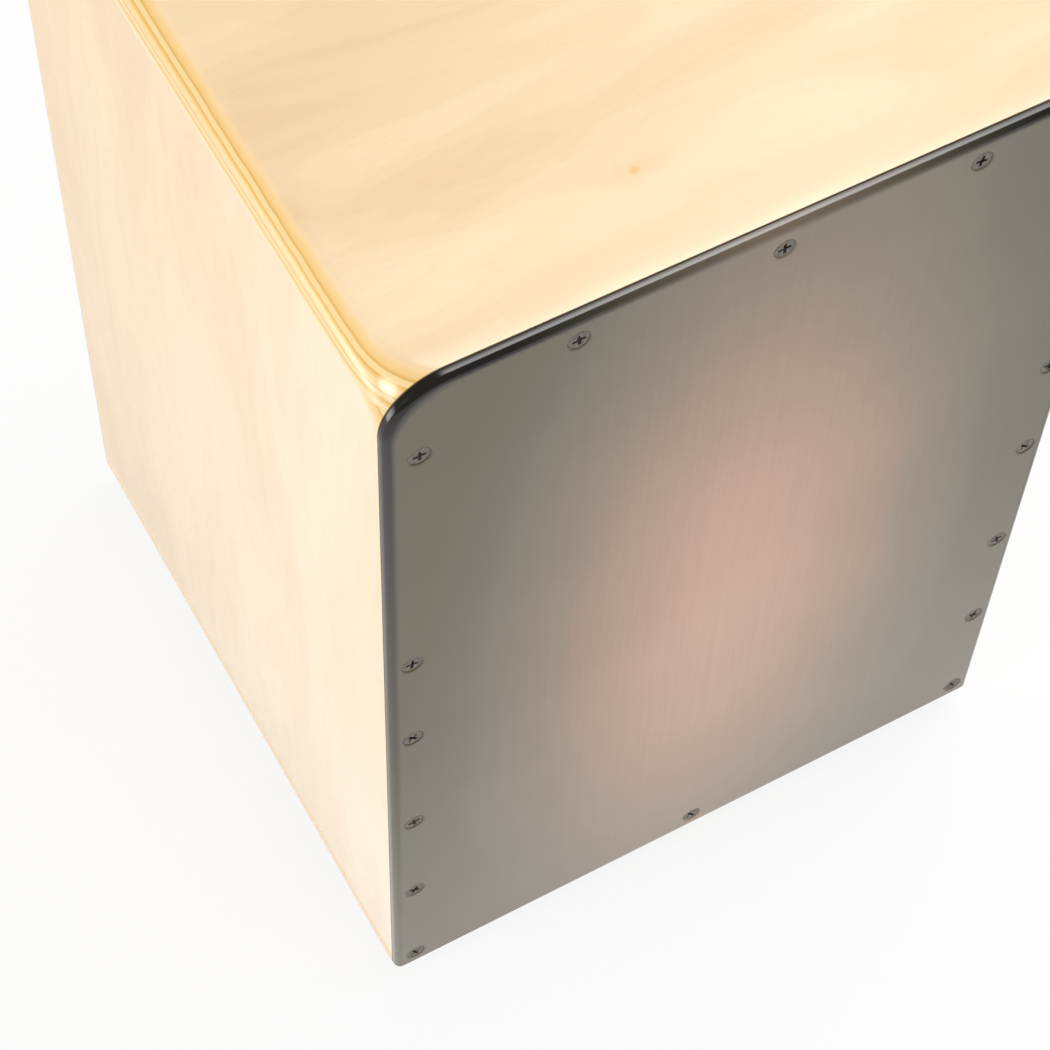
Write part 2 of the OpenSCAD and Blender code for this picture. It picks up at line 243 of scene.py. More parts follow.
def eased_bar(low: Sequence[float], high: Sequence[float], ease: float) -> Surface:
    """Makes a straight bar with all its edges eased.

    A rounded rectangle is carried along the bar's longest side and drawn in by a quarter round at both ends.

    Args:
        low: Lowest corner.
        high: Highest corner.
        ease: Radius of the edges.

    Returns:
        The bar at its place.
    """
    low, high = np.asarray(low, float), np.asarray(high, float)
    half, middle = (high - low) / 2, (high + low) / 2
    order = [int(k) for k in np.argsort(half)]
    steps = 5
    rise = ease * np.sin(np.linspace(0, RIGHT_ANGLE, steps))
    ends = np.concatenate([-half[order[2]] + ease - rise[::-1], half[order[2]] - ease + rise])
    insets = np.concatenate([quarter(rise[::-1], ease), quarter(rise, ease)])
    loop = rounded_rectangle(half[order[0]], half[order[1]], ease, steps)
    rings = np.zeros((len(ends), len(loop), 3))
    limits = half[order[:2]] - insets[:, None]
    rings[:, :, order[:2]] = np.clip(loop[None], -limits[:, None], limits[:, None])
    rings[:, :, order[2]] = ends[:, None]
    return loft(rings + middle)


def bored_board(half_u: float, half_v: float, thickness: float, centre: Pair, radius: float,
                ease: float, hole_ease: float) -> Surface:
    """Makes a board with one round hole, in local U, V and W with W through its thickness.

    Points round the board's rectangle are paired with points on the hole in the same direction from its
    middle. The rings run from the hole's wall over one face to the edge, round it, and back over the other
    face.

    Args:
        half_u: Half the board's width.
        half_v: Half the board's height.
        thickness: Its thickness, centred on W = 0.
        centre: Middle of the hole.
        radius: Radius of the hole.
        ease: Radius of the board's edges.
        hole_ease: Radius of the hole's edges.

    Returns:
        The board about its own middle.
    """
    per_side, per_edge = 24, 6
    share = np.linspace(-1, 1, per_side, endpoint=False)
    full = np.ones(per_side)
    edge = np.concatenate([
        np.stack([full, share], axis=1), np.stack([-share, full], axis=1),
        np.stack([-full, -share], axis=1), np.stack([share, -full], axis=1),
    ]) * [half_u, half_v]
    ray = edge - centre
    ray /= np.linalg.norm(ray, axis=1, keepdims=True)
    turn = np.linspace(0, RIGHT_ANGLE, per_edge)
    half = thickness / 2
    rings = []
    for face in (1, -1):
        hole = [(radius + hole_ease * (1 - math.cos(a)), half - hole_ease * (1 - math.sin(a))) for a in turn]
        rim = [(ease * (1 - math.sin(a)), half - ease * (1 - math.cos(a))) for a in turn]
        loops = [(np.asarray(centre) + r * ray, face * w) for r, w in hole]
        limit = np.array([half_u, half_v])
        loops += [(np.clip(edge, inset - limit, limit - inset), face * w) for inset, w in rim]
        rings += loops if face > 0 else loops[::-1]
    points = np.stack([np.column_stack([loop, np.full(len(loop), w)]) for loop, w in rings])
    return torus(points)


# Shading nodes

# Nearly all of a noise texture's values lie in this span, which Map Range takes as its inputs 1 and 2
NOISE_SPAN = {1: 0.3, 2: 0.7}
SMOOTH = {"interpolation_type": "SMOOTHSTEP"}
RGBA = {"data_type": "RGBA"}


def linear(code: str) -> Colour:
    """Turns an sRGB hex colour to linear light, by the curve of the sRGB standard.

    Args:
        code: The colour, such as #c0a080.

    Returns:
        Its linear RGBA.
    """
    srgb = [int(code[k:k + 2], 16) / 255 for k in (1, 3, 5)]
    red, green, blue = (c / 12.92 if c <= 0.04045 else ((c + 0.055) / 1.055) ** 2.4 for c in srgb)
    return red, green, blue, 1.0


def empty_tree(owner: bpy.types.ID) -> Tree:
    """Clears the node tree of a material or a lamp.

    Args:
        owner: The material or the lamp.

    Returns:
        Its tree, with no node in it.
    """
    owner.use_nodes = True
    owner.node_tree.nodes.clear()
    return owner.node_tree


def add_node(tree: Tree, kind: str, inputs: dict | None = None, stops: Sequence[tuple[float, str]] = (),
             **settings: object) -> Node:
    """Adds a shader node.

    Map Range takes its value as input 0 and its two spans as inputs 1 to 4. A colour Mix takes its share as
    input 0 and its colours as inputs 6 and 7.

    Args:
        tree: The node tree to add it to.
        kind: The node's type, without the prefix that all shader nodes share.
        inputs: Its inputs by name or number, each a plain value, a hex colour, an output socket to link, or a
            node whose first output in use is linked.
        stops: Places and hex colours of a ramp.
        settings: Its properties by name.

    Returns:
        The new node.
    """
    node = tree.nodes.new(f"ShaderNode{kind}")
    for name, value in settings.items():
        setattr(node, name, value)
    if stops:
        elements = node.color_ramp.elements
        while len(elements) < len(stops):
            elements.new(1.0)
        for element, (place, colour) in zip(elements, stops):
            element.position, element.color = place, linear(colour)
    for key, value in (inputs or {}).items():
        if isinstance(value, Node):
            value = next(output for output in value.outputs if output.enabled)
        if isinstance(value, Socket):
            tree.links.new(value, node.inputs[key])
        else:
            node.inputs[key].default_value = linear(value) if isinstance(value, str) else value
    return node


def along(axis: Axis, length: float, width: float) -> Triple:
    """Works out the scale of Object coordinates that gives a pattern its real size.

    Args:
        axis: The axis that the pattern runs along.
        length: Its length along that axis.
        width: Its width across it.

    Returns:
        The scale in X, Y and Z.
    """
    scale = [1 / (width * MM)] * 3
    scale[axis.value] = 1 / (length * MM)
    return tuple(scale)


def drawn_out(add: Adder, place: Socket, axis: Axis, size: Pair, noise: dict,
              shift: Triple = (0.0, 0.0, 0.0)) -> Node:
    """Adds a noise texture that is drawn out along an axis, as grain is.

    Args:
        add: Adds a node to the material's tree.
        place: Output of the Object coordinates.
        axis: The axis of the grain.
        size: Length along it and width across it.
        noise: The texture's own inputs.
        shift: Shift of the pattern, in lengths and widths.

    Returns:
        The texture's node.
    """
    mapped = add("Mapping", {0: place, 1: shift, 3: along(axis, *size)})
    return add("TexNoise", {"Vector": mapped, "Scale": 1.0, **noise})


# Finishes


@dataclass(frozen=True)
class Finish:
    """Material named for the real one and drawn in Object coordinates, on one principled shader.

    Attributes:
        name: Name of the material.
        shader: Constant values of the shader's own sockets.
    """

    shader: ClassVar[dict[str, float]] = {}

    name: str

    def look(self, add: Adder, place: Socket) -> Look:
        """Adds what the eye sees.

        Args:
            add: Adds a node to the material's tree.
            place: Output of the Object coordinates.

        Returns:
            The nodes of the colour, the roughness and the bump.
        """
        raise NotImplementedError

    def build(self) -> bpy.types.Material:
        """Makes the material, with the look on its shader.

        Returns:
            The material.
        """
        material = bpy.data.materials.new(self.name)
        add = partial(add_node, empty_tree(material))
        colour, rough, bump = self.look(add, add("TexCoord").outputs["Object"])
        shader = add("BsdfPrincipled", {
            **self.shader, "Base Color": colour, "Roughness": rough, "Normal": bump})
        add("OutputMaterial", {"Surface": shader})
        return material


@dataclass(frozen=True)
class LacqueredBirch(Finish):
    """Birch plywood, rotary cut, sanded round at the edges and sprayed with clear gloss lacquer.

    The eye sees a pale honey face with a soft flame figure and short fine pores along the grain, gold and
    cream bands where the sanding has cut through the plies, and sharp reflections in the lacquer.

    Attributes:
        grain: Direction of the face's grain.
        depth: Direction through the sheet.
        face: Where the outer face lies in that direction.
        roll_depth: How far the front rim is rolled in.
        rim: Y of the front rim.
        roll_length: How far behind the rim the roll ends.
        thickness: Thickness of the sheet.
        veneer: Thickness of its face veneer.
        flame: Length and width of the flame figure.
        growth_lines: Number of growth lines over the figure's whole range.
        pore_size: Length and width of the pores.
        wave: Size of the waves in the edges of the cut plies.
        seam: Colour of the thin line on the front rim.
        seam_depth: How far behind the rim the line starts to fade, and ends.
        seam_share: Share of the line's colour at the rim.
        knot: Middle of a pin knot, if the sheet has one.
        knot_marks: Colour, length, width and strength of the knot's halo and core.
        painted_falloff: Tint multiplied into the face towards the top and back, if the sheet has one: painted
            shade where the light falls off.
        painted_falloff_tilt: Degrees by which the way of the painted shade leans up from the level.
        painted_falloff_span: Where on that way the painted shade starts, and is full.
        seed: Shift of the figure, so that no two sheets are alike.
        light: Colour of the pale wood.
        dark: Colour of the dark wood.
        pore: Colour of the pores.
        plies: Depth, as a share of the thickness, and colour of the bands from the outer face to the inner
            one.
    """

    # Wood under lacquer has no gloss of its own, because the lacquer fills it
    shader: ClassVar[dict[str, float]] = {
        "Specular IOR Level": 0.0, "Coat Weight": 1.0, "Coat Roughness": 0.16, "Coat IOR": 1.5}

    grain: Axis
    depth: Axis
    face: float
    roll_depth: float
    rim: float
    roll_length: float
    thickness: float = 12.0
    veneer: float = 0.75
    flame: Pair = (190.0, 45.0)
    growth_lines: float = 26.0
    pore_size: Pair = (6.0, 0.7)
    wave: float = 13.0
    seam: str = "#1a1711"
    seam_depth: Pair = (0.15, 0.45)
    seam_share: float = 0.9
    knot: Triple | None = None
    knot_marks: tuple[tuple[str, float, float, float], ...] = (
        ("#e0bd87", 17.0, 6.0, 0.5), ("#e6ad5c", 2.4, 2.1, 0.75))
    painted_falloff: str | None = None
    painted_falloff_tilt: float = 20.0
    painted_falloff_span: Pair = (-130.0, 147.0)
    seed: float = 0.0
    light: str = "#efd6b0"
    dark: str = "#e3c49a"
    pore: str = "#d4ae7a"
    plies: tuple[tuple[float, str], ...] = (
        (0.0, "#eed2a0"), (0.062, "#eccb95"), (0.15, "#e7bf7d"), (0.19, "#d5a55a"), (0.212, "#edcd93"),
        (0.3, "#eece96"), (0.32, "#dcac5c"), (0.35, "#e3b566"), (0.41, "#e8c588"), (0.43, "#edcc93"),
        (0.56, "#edcc95"), (0.585, "#cfa568"), (0.61, "#eed2a2"), (0.71, "#ecca94"), (0.725, "#d6ac69"),
        (0.75, "#e2ba77"), (0.815, "#e6c184"), (0.83, "#edd1a1"), (0.94, "#edd2a4"), (1.0, "#dfbc86"),
    )

    def look(self, add: Adder, place: Socket) -> Look:
        """Adds the face veneer, the plies that the sanding has cut and the line on the front rim.

        Args:
            add: Adds a node to the material's tree.
            place: Output of the Object coordinates.

        Returns:
            The nodes of the colour, the roughness and the bump.
        """
        split = add("SeparateXYZ", {0: place})
        share = self.cut_depth(add, place, split)
        bands = add("ValToRGB", {0: share}, self.plies)
        # Pores are 0.1 mm wide on real birch; they are drawn wider so that the render can show them
        pores = drawn_out(add, place, self.grain, self.pore_size, {"Detail": 2.0, "Roughness": 0.6})
        fleck = add("MapRange", {0: pores, 1: 0.55, 2: 0.8, 4: 0.22})
        wood = add("Mix", {0: fleck, 6: self.flamed(add, place), 7: self.pore}, **RGBA)
        # Painted shade on the side panels: darker and warmer towards the top and back, where the light falls
        # off
        if self.painted_falloff is not None:
            wood = self.with_painted_falloff(add, place, wood)
        if self.knot is not None:
            wood = self.with_knot(add, place, wood)

        # The face veneer thins out over the start of the rounded edge, so the first ply shows through it, and
        # the same veneer is on the inner face
        thin = self.veneer / self.thickness
        cut = add("MapRange", {0: share, 1: 0.3 * thin, 2: 1.1 * thin}, **SMOOTH)
        cut = add("MapRange", {0: share, 1: 1 - 0.7 * thin, 2: 1 - 0.2 * thin, 3: cut, 4: 0.0}, **SMOOTH)
        colour = add("Mix", {0: cut, 6: wood, 7: bands}, **RGBA)
        # A thin near-black line on the rim just behind the plate, full at the rim and fading out within half
        # a millimetre
        low, high = ((self.rim + depth) * MM for depth in self.seam_depth)
        seam = add("MapRange", {0: split.outputs["Y"], 1: low, 2: high, 3: self.seam_share, 4: 0.0})
        colour = add("Mix", {0: seam, 6: colour, 7: self.seam}, **RGBA)
        rough = add("MapRange", {0: pores, 1: 0.3, 2: 0.8, 3: 0.38, 4: 0.6})
        bump = add("Bump", {"Strength": 0.12, "Distance": 0.05 * MM, "Height": fleck}, invert=True)
        return colour, rough, bump

    def cut_depth(self, add: Adder, place: Socket, split: Node) -> Node:
        """Adds how deep the sanding has cut into the sheet.

        It is the distance under the face, less the inset of the rolled front rim, where the plies bend with
        the surface. That inset grows with the square of the way into the roll. Noise makes the cut slightly
        ragged.

        Args:
            add: Adds a node to the material's tree.
            place: Output of the Object coordinates.
            split: Their X, Y and Z.

        Returns:
            The node with the depth as a share of the sheet's thickness.
        """
        depth = add("Math", {0: split.outputs[self.depth.value], 1: self.face * MM}, operation="SUBTRACT")
        depth = add("Math", {0: depth}, operation="ABSOLUTE")
        share = add("Math", {0: depth, 1: self.thickness * MM}, operation="DIVIDE")
        low, high = self.rim * MM, (self.rim + self.roll_length) * MM
        into = add("MapRange", {0: split.outputs["Y"], 1: low, 2: high, 3: 1.0, 4: 0.0})
        inset = add("Math", {0: into, 1: 2.0}, operation="POWER")
        lift = -self.roll_depth / self.thickness
        share = add("Math", {0: inset, 1: lift, 2: share}, operation="MULTIPLY_ADD")
        ragged = add("TexNoise", {"Vector": place, "Scale": 1 / (self.wave * MM), "Detail": 3.0})
        ragged = add("MapRange", {0: ragged, **NOISE_SPAN, 3: -0.01, 4: 0.01})
        return add("Math", {0: share, 1: ragged}, operation="ADD")

    def flamed(self, add: Adder, place: Socket) -> Node:
        """Adds the flame figure and the growth lines that follow its contours.

        Args:
            add: Adds a node to the material's tree.
            place: Output of the Object coordinates.

        Returns:
            The colour mix of the figure.
        """
        noise = {"Detail": 3.0, "Roughness": 0.45, "Distortion": 0.5}
        shift = (self.seed, self.seed * 1.7, self.seed * 0.6)
        flame = drawn_out(add, place, self.grain, self.flame, noise, shift)
        contour = add("Math", {0: flame, 1: self.growth_lines}, operation="MULTIPLY")
        contour = add("Math", {0: contour, 1: 1.0}, operation="PINGPONG")
        tone = add("MapRange", {0: flame, 1: 0.34, 2: 0.68, 4: 0.85}, **SMOOTH)
        lines = add("Math", {0: contour, 1: 0.16, 2: tone}, operation="MULTIPLY_ADD")
        return add("Mix", {0: lines, 6: self.light, 7: self.dark}, **RGBA)

    def with_painted_falloff(self, add: Adder, place: Socket, wood: Node) -> Node:
        """Paints shade on the face, darker and warmer from the front foot towards the top and back, where the
        light falls off.

        The share is a straight ramp along a direction in Y and Z, which leans up from the level by the tilt.

        Args:
            add: Adds a node to the material's tree.
            place: Output of the Object coordinates.
            wood: The colour mix of the face so far.

        Returns:
            The colour mix, multiplied by the tint of the painted shade where the ramp is full.
        """
        tilt = math.radians(self.painted_falloff_tilt)
        lean = (0.0, math.cos(tilt), math.sin(tilt))
        way = add("VectorMath", {0: place, 1: lean}, operation="DOT_PRODUCT")
        low, high = (end * MM for end in self.painted_falloff_span)
        share = add("MapRange", {0: way, 1: low, 2: high})
        return add("Mix", {0: share, 6: wood, 7: self.painted_falloff}, blend_type="MULTIPLY", **RGBA)

    def with_knot(self, add: Adder, place: Socket, wood: Node) -> Node:
        """Darkens the face round a pin knot.

        Each mark is a ragged oval that fades outwards: a faint halo along the grain, then the small golden
        core.

        Args:
            add: Adds a node to the material's tree.
            place: Output of the Object coordinates.
            wood: The colour mix of the face so far.

        Returns:
            The colour mix with the knot.
        """
        middle = tuple(k * MM for k in self.knot)
        offset = add("VectorMath", {0: place, 1: middle}, operation="SUBTRACT")
        for tone, length, width, strength in self.knot_marks:
            scale = along(self.grain, length, width)
            oval = add("VectorMath", {0: offset, 1: scale}, operation="MULTIPLY")
            ragged = add("TexNoise", {"Vector": oval, "Scale": 1.3, "Detail": 3.0, "Roughness": 0.6})
            reach = add("VectorMath", {0: oval}, operation="LENGTH")
            reach = add("Math", {0: reach, 1: ragged}, operation="ADD")
            mark = add("MapRange", {0: reach, 1: 0.5, 2: 1.7, 3: strength, 4: 0.0}, **SMOOTH)
            wood = add("Mix", {0: mark, 6: wood, 7: tone}, **RGBA)
        return wood


@dataclass(frozen=True)
class BurstLacquer(Finish):
    """Veneer stained in a sprayed burst under hard lacquer, with its rounded border sprayed black.

    The eye sees warm beige in the middle that darkens evenly to olive grey at the edges, a hint of upright
    grain, a glossy border that is black round the top corners and thins out down the sides and towards the
    middle of the top, and bare birch on the back. The front is also painted greyer and paler towards its
    foot:
    painted light from the white floor.

    Attributes:
        back: Y of the plate's back face.
        middle: X and Z of the burst's middle.
        reach: How far the burst reaches in X and Z.
        burst: Share of the reach, and colour, from the middle outwards.
        cloud: Size of the soft clouds that the spray gun leaves.
        grain: Length and width of the upright grain.
        shade: Colour of the grain's streaks.
        painted_floor_light: Colour of the last coat, which is thickest at the foot.
        painted_floor_light_share: How well it covers there.
        painted_floor_light_height: Height at which it ends.
        border: Colour of the border.
        border_width: How far from the plate's edge the border starts to fade, and ends.
        border_height: Height at which the border is thinnest, height at which it is full, and the least
            share.
        border_across: The same for the distance from the middle of the plate.
        bare: Colour of the pale wood on the back.
        bare_dark: Colour of the dark wood on the back.
    """

    shader: ClassVar[dict[str, float]] = {
        "Specular IOR Level": 0.0, "Coat Weight": 1.0, "Coat Roughness": 0.12, "Coat IOR": 1.5}

    back: float
    middle: Pair = (0.0, 205.0)
    reach: Pair = (152.0, 400.0)
    burst: tuple[tuple[float, str], ...] = (
        (0.06, "#c8a38a"), (0.3, "#bc9780"), (0.55, "#97806c"), (0.8, "#716756"), (1.0, "#5c5640"))
    cloud: float = 60.0
    grain: Pair = (110.0, 1.6)
    shade: str = "#5c5640"
    # mist: Colour of the painted light from the white floor, strongest at the foot.
    # painted_floor_light_share: How strongly the painted light is mixed in there. painted_floor_light_height:
    # Height at which the painted light ends.
    painted_floor_light: str = "#a69d91"
    painted_floor_light_share: float = 0.34
    painted_floor_light_height: float = 230.0
    border: str = "#1a1711"
    border_width: Pair = (2.2, 4.8)
    border_height: Triple = (60.0, 440.0, 0.12)
    border_across: Triple = (8.0, 104.0, 0.33)
    bare: str = "#ebcda0"
    bare_dark: str = "#d9b480"

    def look(self, add: Adder, place: Socket) -> Look:
        """Adds the stained front under its border, and the bare back.

        Args:
            add: Adds a node to the material's tree.
            place: Output of the Object coordinates.

        Returns:
            The nodes of the colour, the roughness and the bump.
        """
        split = add("SeparateXYZ", {0: place})
        grain = drawn_out(add, place, Axis.Z, self.grain, {"Detail": 3.0, "Roughness": 0.5})
        # The grain is hardly stronger than the stain over it
        streak = add("MapRange", {0: grain, **NOISE_SPAN, 4: 0.07})
        stained = add("Mix", {0: streak, 6: self.stain(add, place), 7: self.shade}, **RGBA)
        # Painted light from the white floor: the front turns greyer and paler towards its foot
        height = split.outputs["Z"]
        painted_floor_light = add("MapRange", {0: height, 2: self.painted_floor_light_height * MM, 3: self.painted_floor_light_share, 4: 0.0})
        stained = add("Mix", {0: painted_floor_light, 6: stained, 7: self.painted_floor_light}, **RGBA)
        front = add("Mix", {0: self.sprayed(add, split), 6: stained, 7: self.border}, **RGBA)

        tone = add("MapRange", {0: grain, **NOISE_SPAN})
        inner = add("Mix", {0: tone, 6: self.bare, 7: self.bare_dark}, **RGBA)
        margin = 0.02
        limit = (self.back - margin) * MM
        behind = add("Math", {0: split.outputs["Y"], 1: limit}, operation="GREATER_THAN")
        colour = add("Mix", {0: behind, 6: front, 7: inner}, **RGBA)
        rough = add("MapRange", {0: grain, **NOISE_SPAN, 3: 0.4, 4: 0.5})
        bump = add("Bump", {"Strength": 0.1, "Distance": 0.04 * MM, "Height": grain}, invert=True)
        return colour, rough, bump

    def stain(self, add: Adder, place: Socket) -> Node:
        """Adds the burst, whose colour follows the distance from its middle in shares of its reach.

        Args:
            add: Adds a node to the material's tree.
            place: Output of the Object coordinates.

        Returns:
            The colour ramp of the burst.
        """
        middle = (self.middle[0] * MM, 0.0, self.middle[1] * MM)
        offset = add("VectorMath", {0: place, 1: middle}, operation="SUBTRACT")
        scale = (1 / (self.reach[0] * MM), 0.0, 1 / (self.reach[1] * MM))
        oval = add("VectorMath", {0: offset, 1: scale}, operation="MULTIPLY")
        radius = add("VectorMath", {0: oval}, operation="LENGTH")
        cloud = add("TexNoise", {
            "Vector": place, "Scale": 1 / (self.cloud * MM), "Detail": 2.0, "Roughness": 0.4})
        radius = add("Math", {0: cloud, 1: 0.12, 2: radius}, operation="MULTIPLY_ADD")
        burst = add("ValToRGB", {0: radius}, self.burst)
        burst.color_ramp.interpolation = "CARDINAL"
        return burst

    def sprayed(self, add: Adder, split: Node) -> Node:
        """Adds how well the black covers, by the distance to the edge, the height and the way across.

        Args:
            add: Adds a node to the material's tree.
            split: X, Y and Z of the Object coordinates.

        Returns:
            The node with the share of black.
        """
        edge = add("Attribute", attribute_name="border").outputs["Fac"]
        low, high = self.border_width
        share = add("MapRange", {0: edge, 1: low, 2: high, 3: 1.0, 4: 0.0}, **SMOOTH)
        across = add("Math", {0: split.outputs["X"]}, operation="ABSOLUTE")
        ways = ((split.outputs["Z"], self.border_height), (across, self.border_across))
        for way, (thin, full, least) in ways:
            thinned = add("MapRange", {0: way, 1: thin * MM, 2: full * MM, 3: least, 4: 1.0})
            share = add("Math", {0: share, 1: thinned}, operation="MULTIPLY")
        return share


@dataclass(frozen=True)
class SandedWood(Finish):
    """Solid beech or spruce, planed and sanded, with no lacquer.

    The eye sees an even tan, pinkish on beech and straw on spruce, with straight fine grain, short darker
    flecks and a dull sheen.

    Attributes:
        grain: Direction of the grain.
        light: Colour of the pale wood.
        dark: Colour of the dark wood.
        fleck: Colour of the flecks.
        figure: Length and width of the grain's figure.
        fleck_size: Length and width of the flecks.
    """

    shader: ClassVar[dict[str, float]] = {"Specular IOR Level": 0.35}

    grain: Axis
    light: str = "#e6c59b"
    dark: str = "#cfa373"
    fleck: str = "#b78754"
    figure: Pair = (60.0, 2.0)
    fleck_size: Pair = (4.0, 0.8)

    def look(self, add: Adder, place: Socket) -> Look:
        """Adds the grain and the flecks.

        Args:
            add: Adds a node to the material's tree.
            place: Output of the Object coordinates.

        Returns:
            The nodes of the colour, the roughness and the bump.
        """
        noise = {"Detail": 3.0, "Roughness": 0.55, "Distortion": 0.3}
        grain = drawn_out(add, place, self.grain, self.figure, noise)
        # Flecks are about 0.3 mm wide on real wood; they are drawn wider so that the render can show them
        flecks = drawn_out(add, place, self.grain, self.fleck_size, {"Detail": 1.0})
        tone = add("MapRange", {0: grain, **NOISE_SPAN})
        wood = add("Mix", {0: tone, 6: self.light, 7: self.dark}, **RGBA)
        dashes = add("MapRange", {0: flecks, 1: 0.6, 2: 0.75, 4: 0.5})
        wood = add("Mix", {0: dashes, 6: wood, 7: self.fleck}, **RGBA)
        rough = add("MapRange", {0: grain, **NOISE_SPAN, 3: 0.55, 4: 0.72})
        bump = add("Bump", {"Strength": 0.25, "Distance": 0.08 * MM, "Height": dashes}, invert=True)
        return wood, rough, bump


@dataclass(frozen=True)
class PlatedSteel(Finish):
    """Steel, stamped or drawn and then plated.

    The eye sees a soft metal sheen with faint handling marks that break up its highlights.

    Attributes:
        bright: Colour of the clean plating.
        dull: Colour of the marks.
        smooth: Roughness of the clean plating.
        rough: Roughness of the marks.
        mark_size: Size of the marks.
        grit_size: Size of the plating's grain.
    """

    shader: ClassVar[dict[str, float]] = {"Metallic": 1.0}

    bright: str
    dull: str
    smooth: float
    rough: float
    mark_size: float = 1.5
    grit_size: float = 0.3

    def look(self, add: Adder, place: Socket) -> Look:
        """Adds the marks and the plating's grain.

        Args:
            add: Adds a node to the material's tree.
            place: Output of the Object coordinates.

        Returns:
            The nodes of the colour, the roughness and the bump.
        """
        marks = add("TexNoise", {
            "Vector": place, "Scale": 1 / (self.mark_size * MM), "Detail": 3.0, "Roughness": 0.6})
        # The plating's grain is too fine to see; it is drawn far coarser so that highlights break up
        grit = add("TexNoise", {"Vector": place, "Scale": 1 / (self.grit_size * MM), "Detail": 1.0})
        tone = add("MapRange", {0: marks, 1: 0.35, 2: 0.7})
        metal = add("Mix", {0: tone, 6: self.bright, 7: self.dull}, **RGBA)
        rough = add("MapRange", {0: marks, 1: 0.3, 2: 0.75, 3: self.smooth, 4: self.rough})
        bump = add("Bump", {"Strength": 0.1, "Distance": 0.02 * MM, "Height": grit})
        return metal, rough, bump


@dataclass(frozen=True)
class MouldedRubber(Finish):
    """Black rubber, moulded against a spark-eroded tool.

    The eye sees a dull charcoal with a fine even grain and dust that greys its wide faces a little.

    Attributes:
        black: Colour of the clean rubber.
        dusty: Colour of the dust.
        cloud: Size of the clouds of dust.
        grain: Size of the tool's grain.
    """

    shader: ClassVar[dict[str, float]] = {"Specular IOR Level": 0.4}

    black: str = "#1d1d1e"
    dusty: str = "#34332f"
    cloud: float = 9.0
    grain: float = 0.6

    def look(self, add: Adder, place: Socket) -> Look:
        """Adds the dust and the tool's grain.

        Args:
            add: Adds a node to the material's tree.
            place: Output of the Object coordinates.

        Returns:
            The nodes of the colour, the roughness and the bump.
        """
        dust = add("TexNoise", {"Vector": place, "Scale": 1 / (self.cloud * MM), "Detail": 4.0})
        # The tool's grain is about 0.1 mm; it is drawn coarser so that the render can show it
        grain = add("TexNoise", {"Vector": place, "Scale": 1 / (self.grain * MM), "Detail": 2.0})
        tone = add("MapRange", {0: dust, 1: 0.45, 2: 0.75})
        rubber = add("Mix", {0: tone, 6: self.black, 7: self.dusty}, **RGBA)
        rough = add("MapRange", {0: grain, **NOISE_SPAN, 3: 0.55, 4: 0.8})
        bump = add("Bump", {"Strength": 0.35, "Distance": 0.06 * MM, "Height": grain})
        return rubber, rough, bump


# Pieces


def make_object(name: str, surface: Surface, material: bpy.types.Material, crease: float) -> bpy.types.Object:
    """Turns a surface into a mesh object at the origin.

    Args:
        name: Name of the object.
        surface: Its surface, in millimetres at its place.
        material: Its finish.
        crease: Angle in degrees past which an edge stays sharp.

    Returns:
        The object, with doubled points merged and smooth faces between its sharp edges.
    """
    mesh = bpy.data.meshes.new(name)
    mesh.from_pydata(surface.points * MM, [], surface.faces)
    work = bmesh.new()
    work.from_mesh(mesh)
    bmesh.ops.remove_doubles(work, verts=work.verts, dist=MERGE_DISTANCE * MM)
    work.to_mesh(mesh)
    work.free()
    mesh.polygons.foreach_set("use_smooth", np.ones(len(mesh.polygons), bool))
    mesh.set_sharp_from_angle(angle=math.radians(crease))
    mesh.materials.append(material)
    made = bpy.data.objects.new(name, mesh)
    bpy.context.scene.collection.objects.link(made)
    return made


def add_piece(name: str, surface: Surface, material: bpy.types.Material, body: str, nodes: Sequence[str],
              crease: float = 33.0) -> bpy.types.Object:
    """Adds a piece that stands for CAD nodes and moves with their body.

    Args:
        name: Name of the piece.
        surface: Its surface.
        material: Its finish.
        body: The CAD body that it rides on.
        nodes: The CAD nodes that it stands for.
        crease: Angle in degrees past which an edge stays sharp.

    Returns:
        The piece.
    """
    made = make_object(name, surface, material, crease)
    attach(made, body)
    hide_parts(*nodes)
    LOG.info("%s: %d points on %s", name, len(made.data.vertices), body)
    return made


def node_box(node: str) -> tuple[np.ndarray, np.ndarray]:
    """Returns the lowest and highest corner of a CAD node in millimetres."""
    low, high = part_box(node)
    return np.array(low) / MM, np.array(high) / MM


def node_middle(node: str) -> tuple[np.ndarray, np.ndarray]:
    """Returns half the size of a CAD node, and its middle, in millimetres."""
    low, high = node_box(node)
    return (high - low) / 2, (high + low) / 2


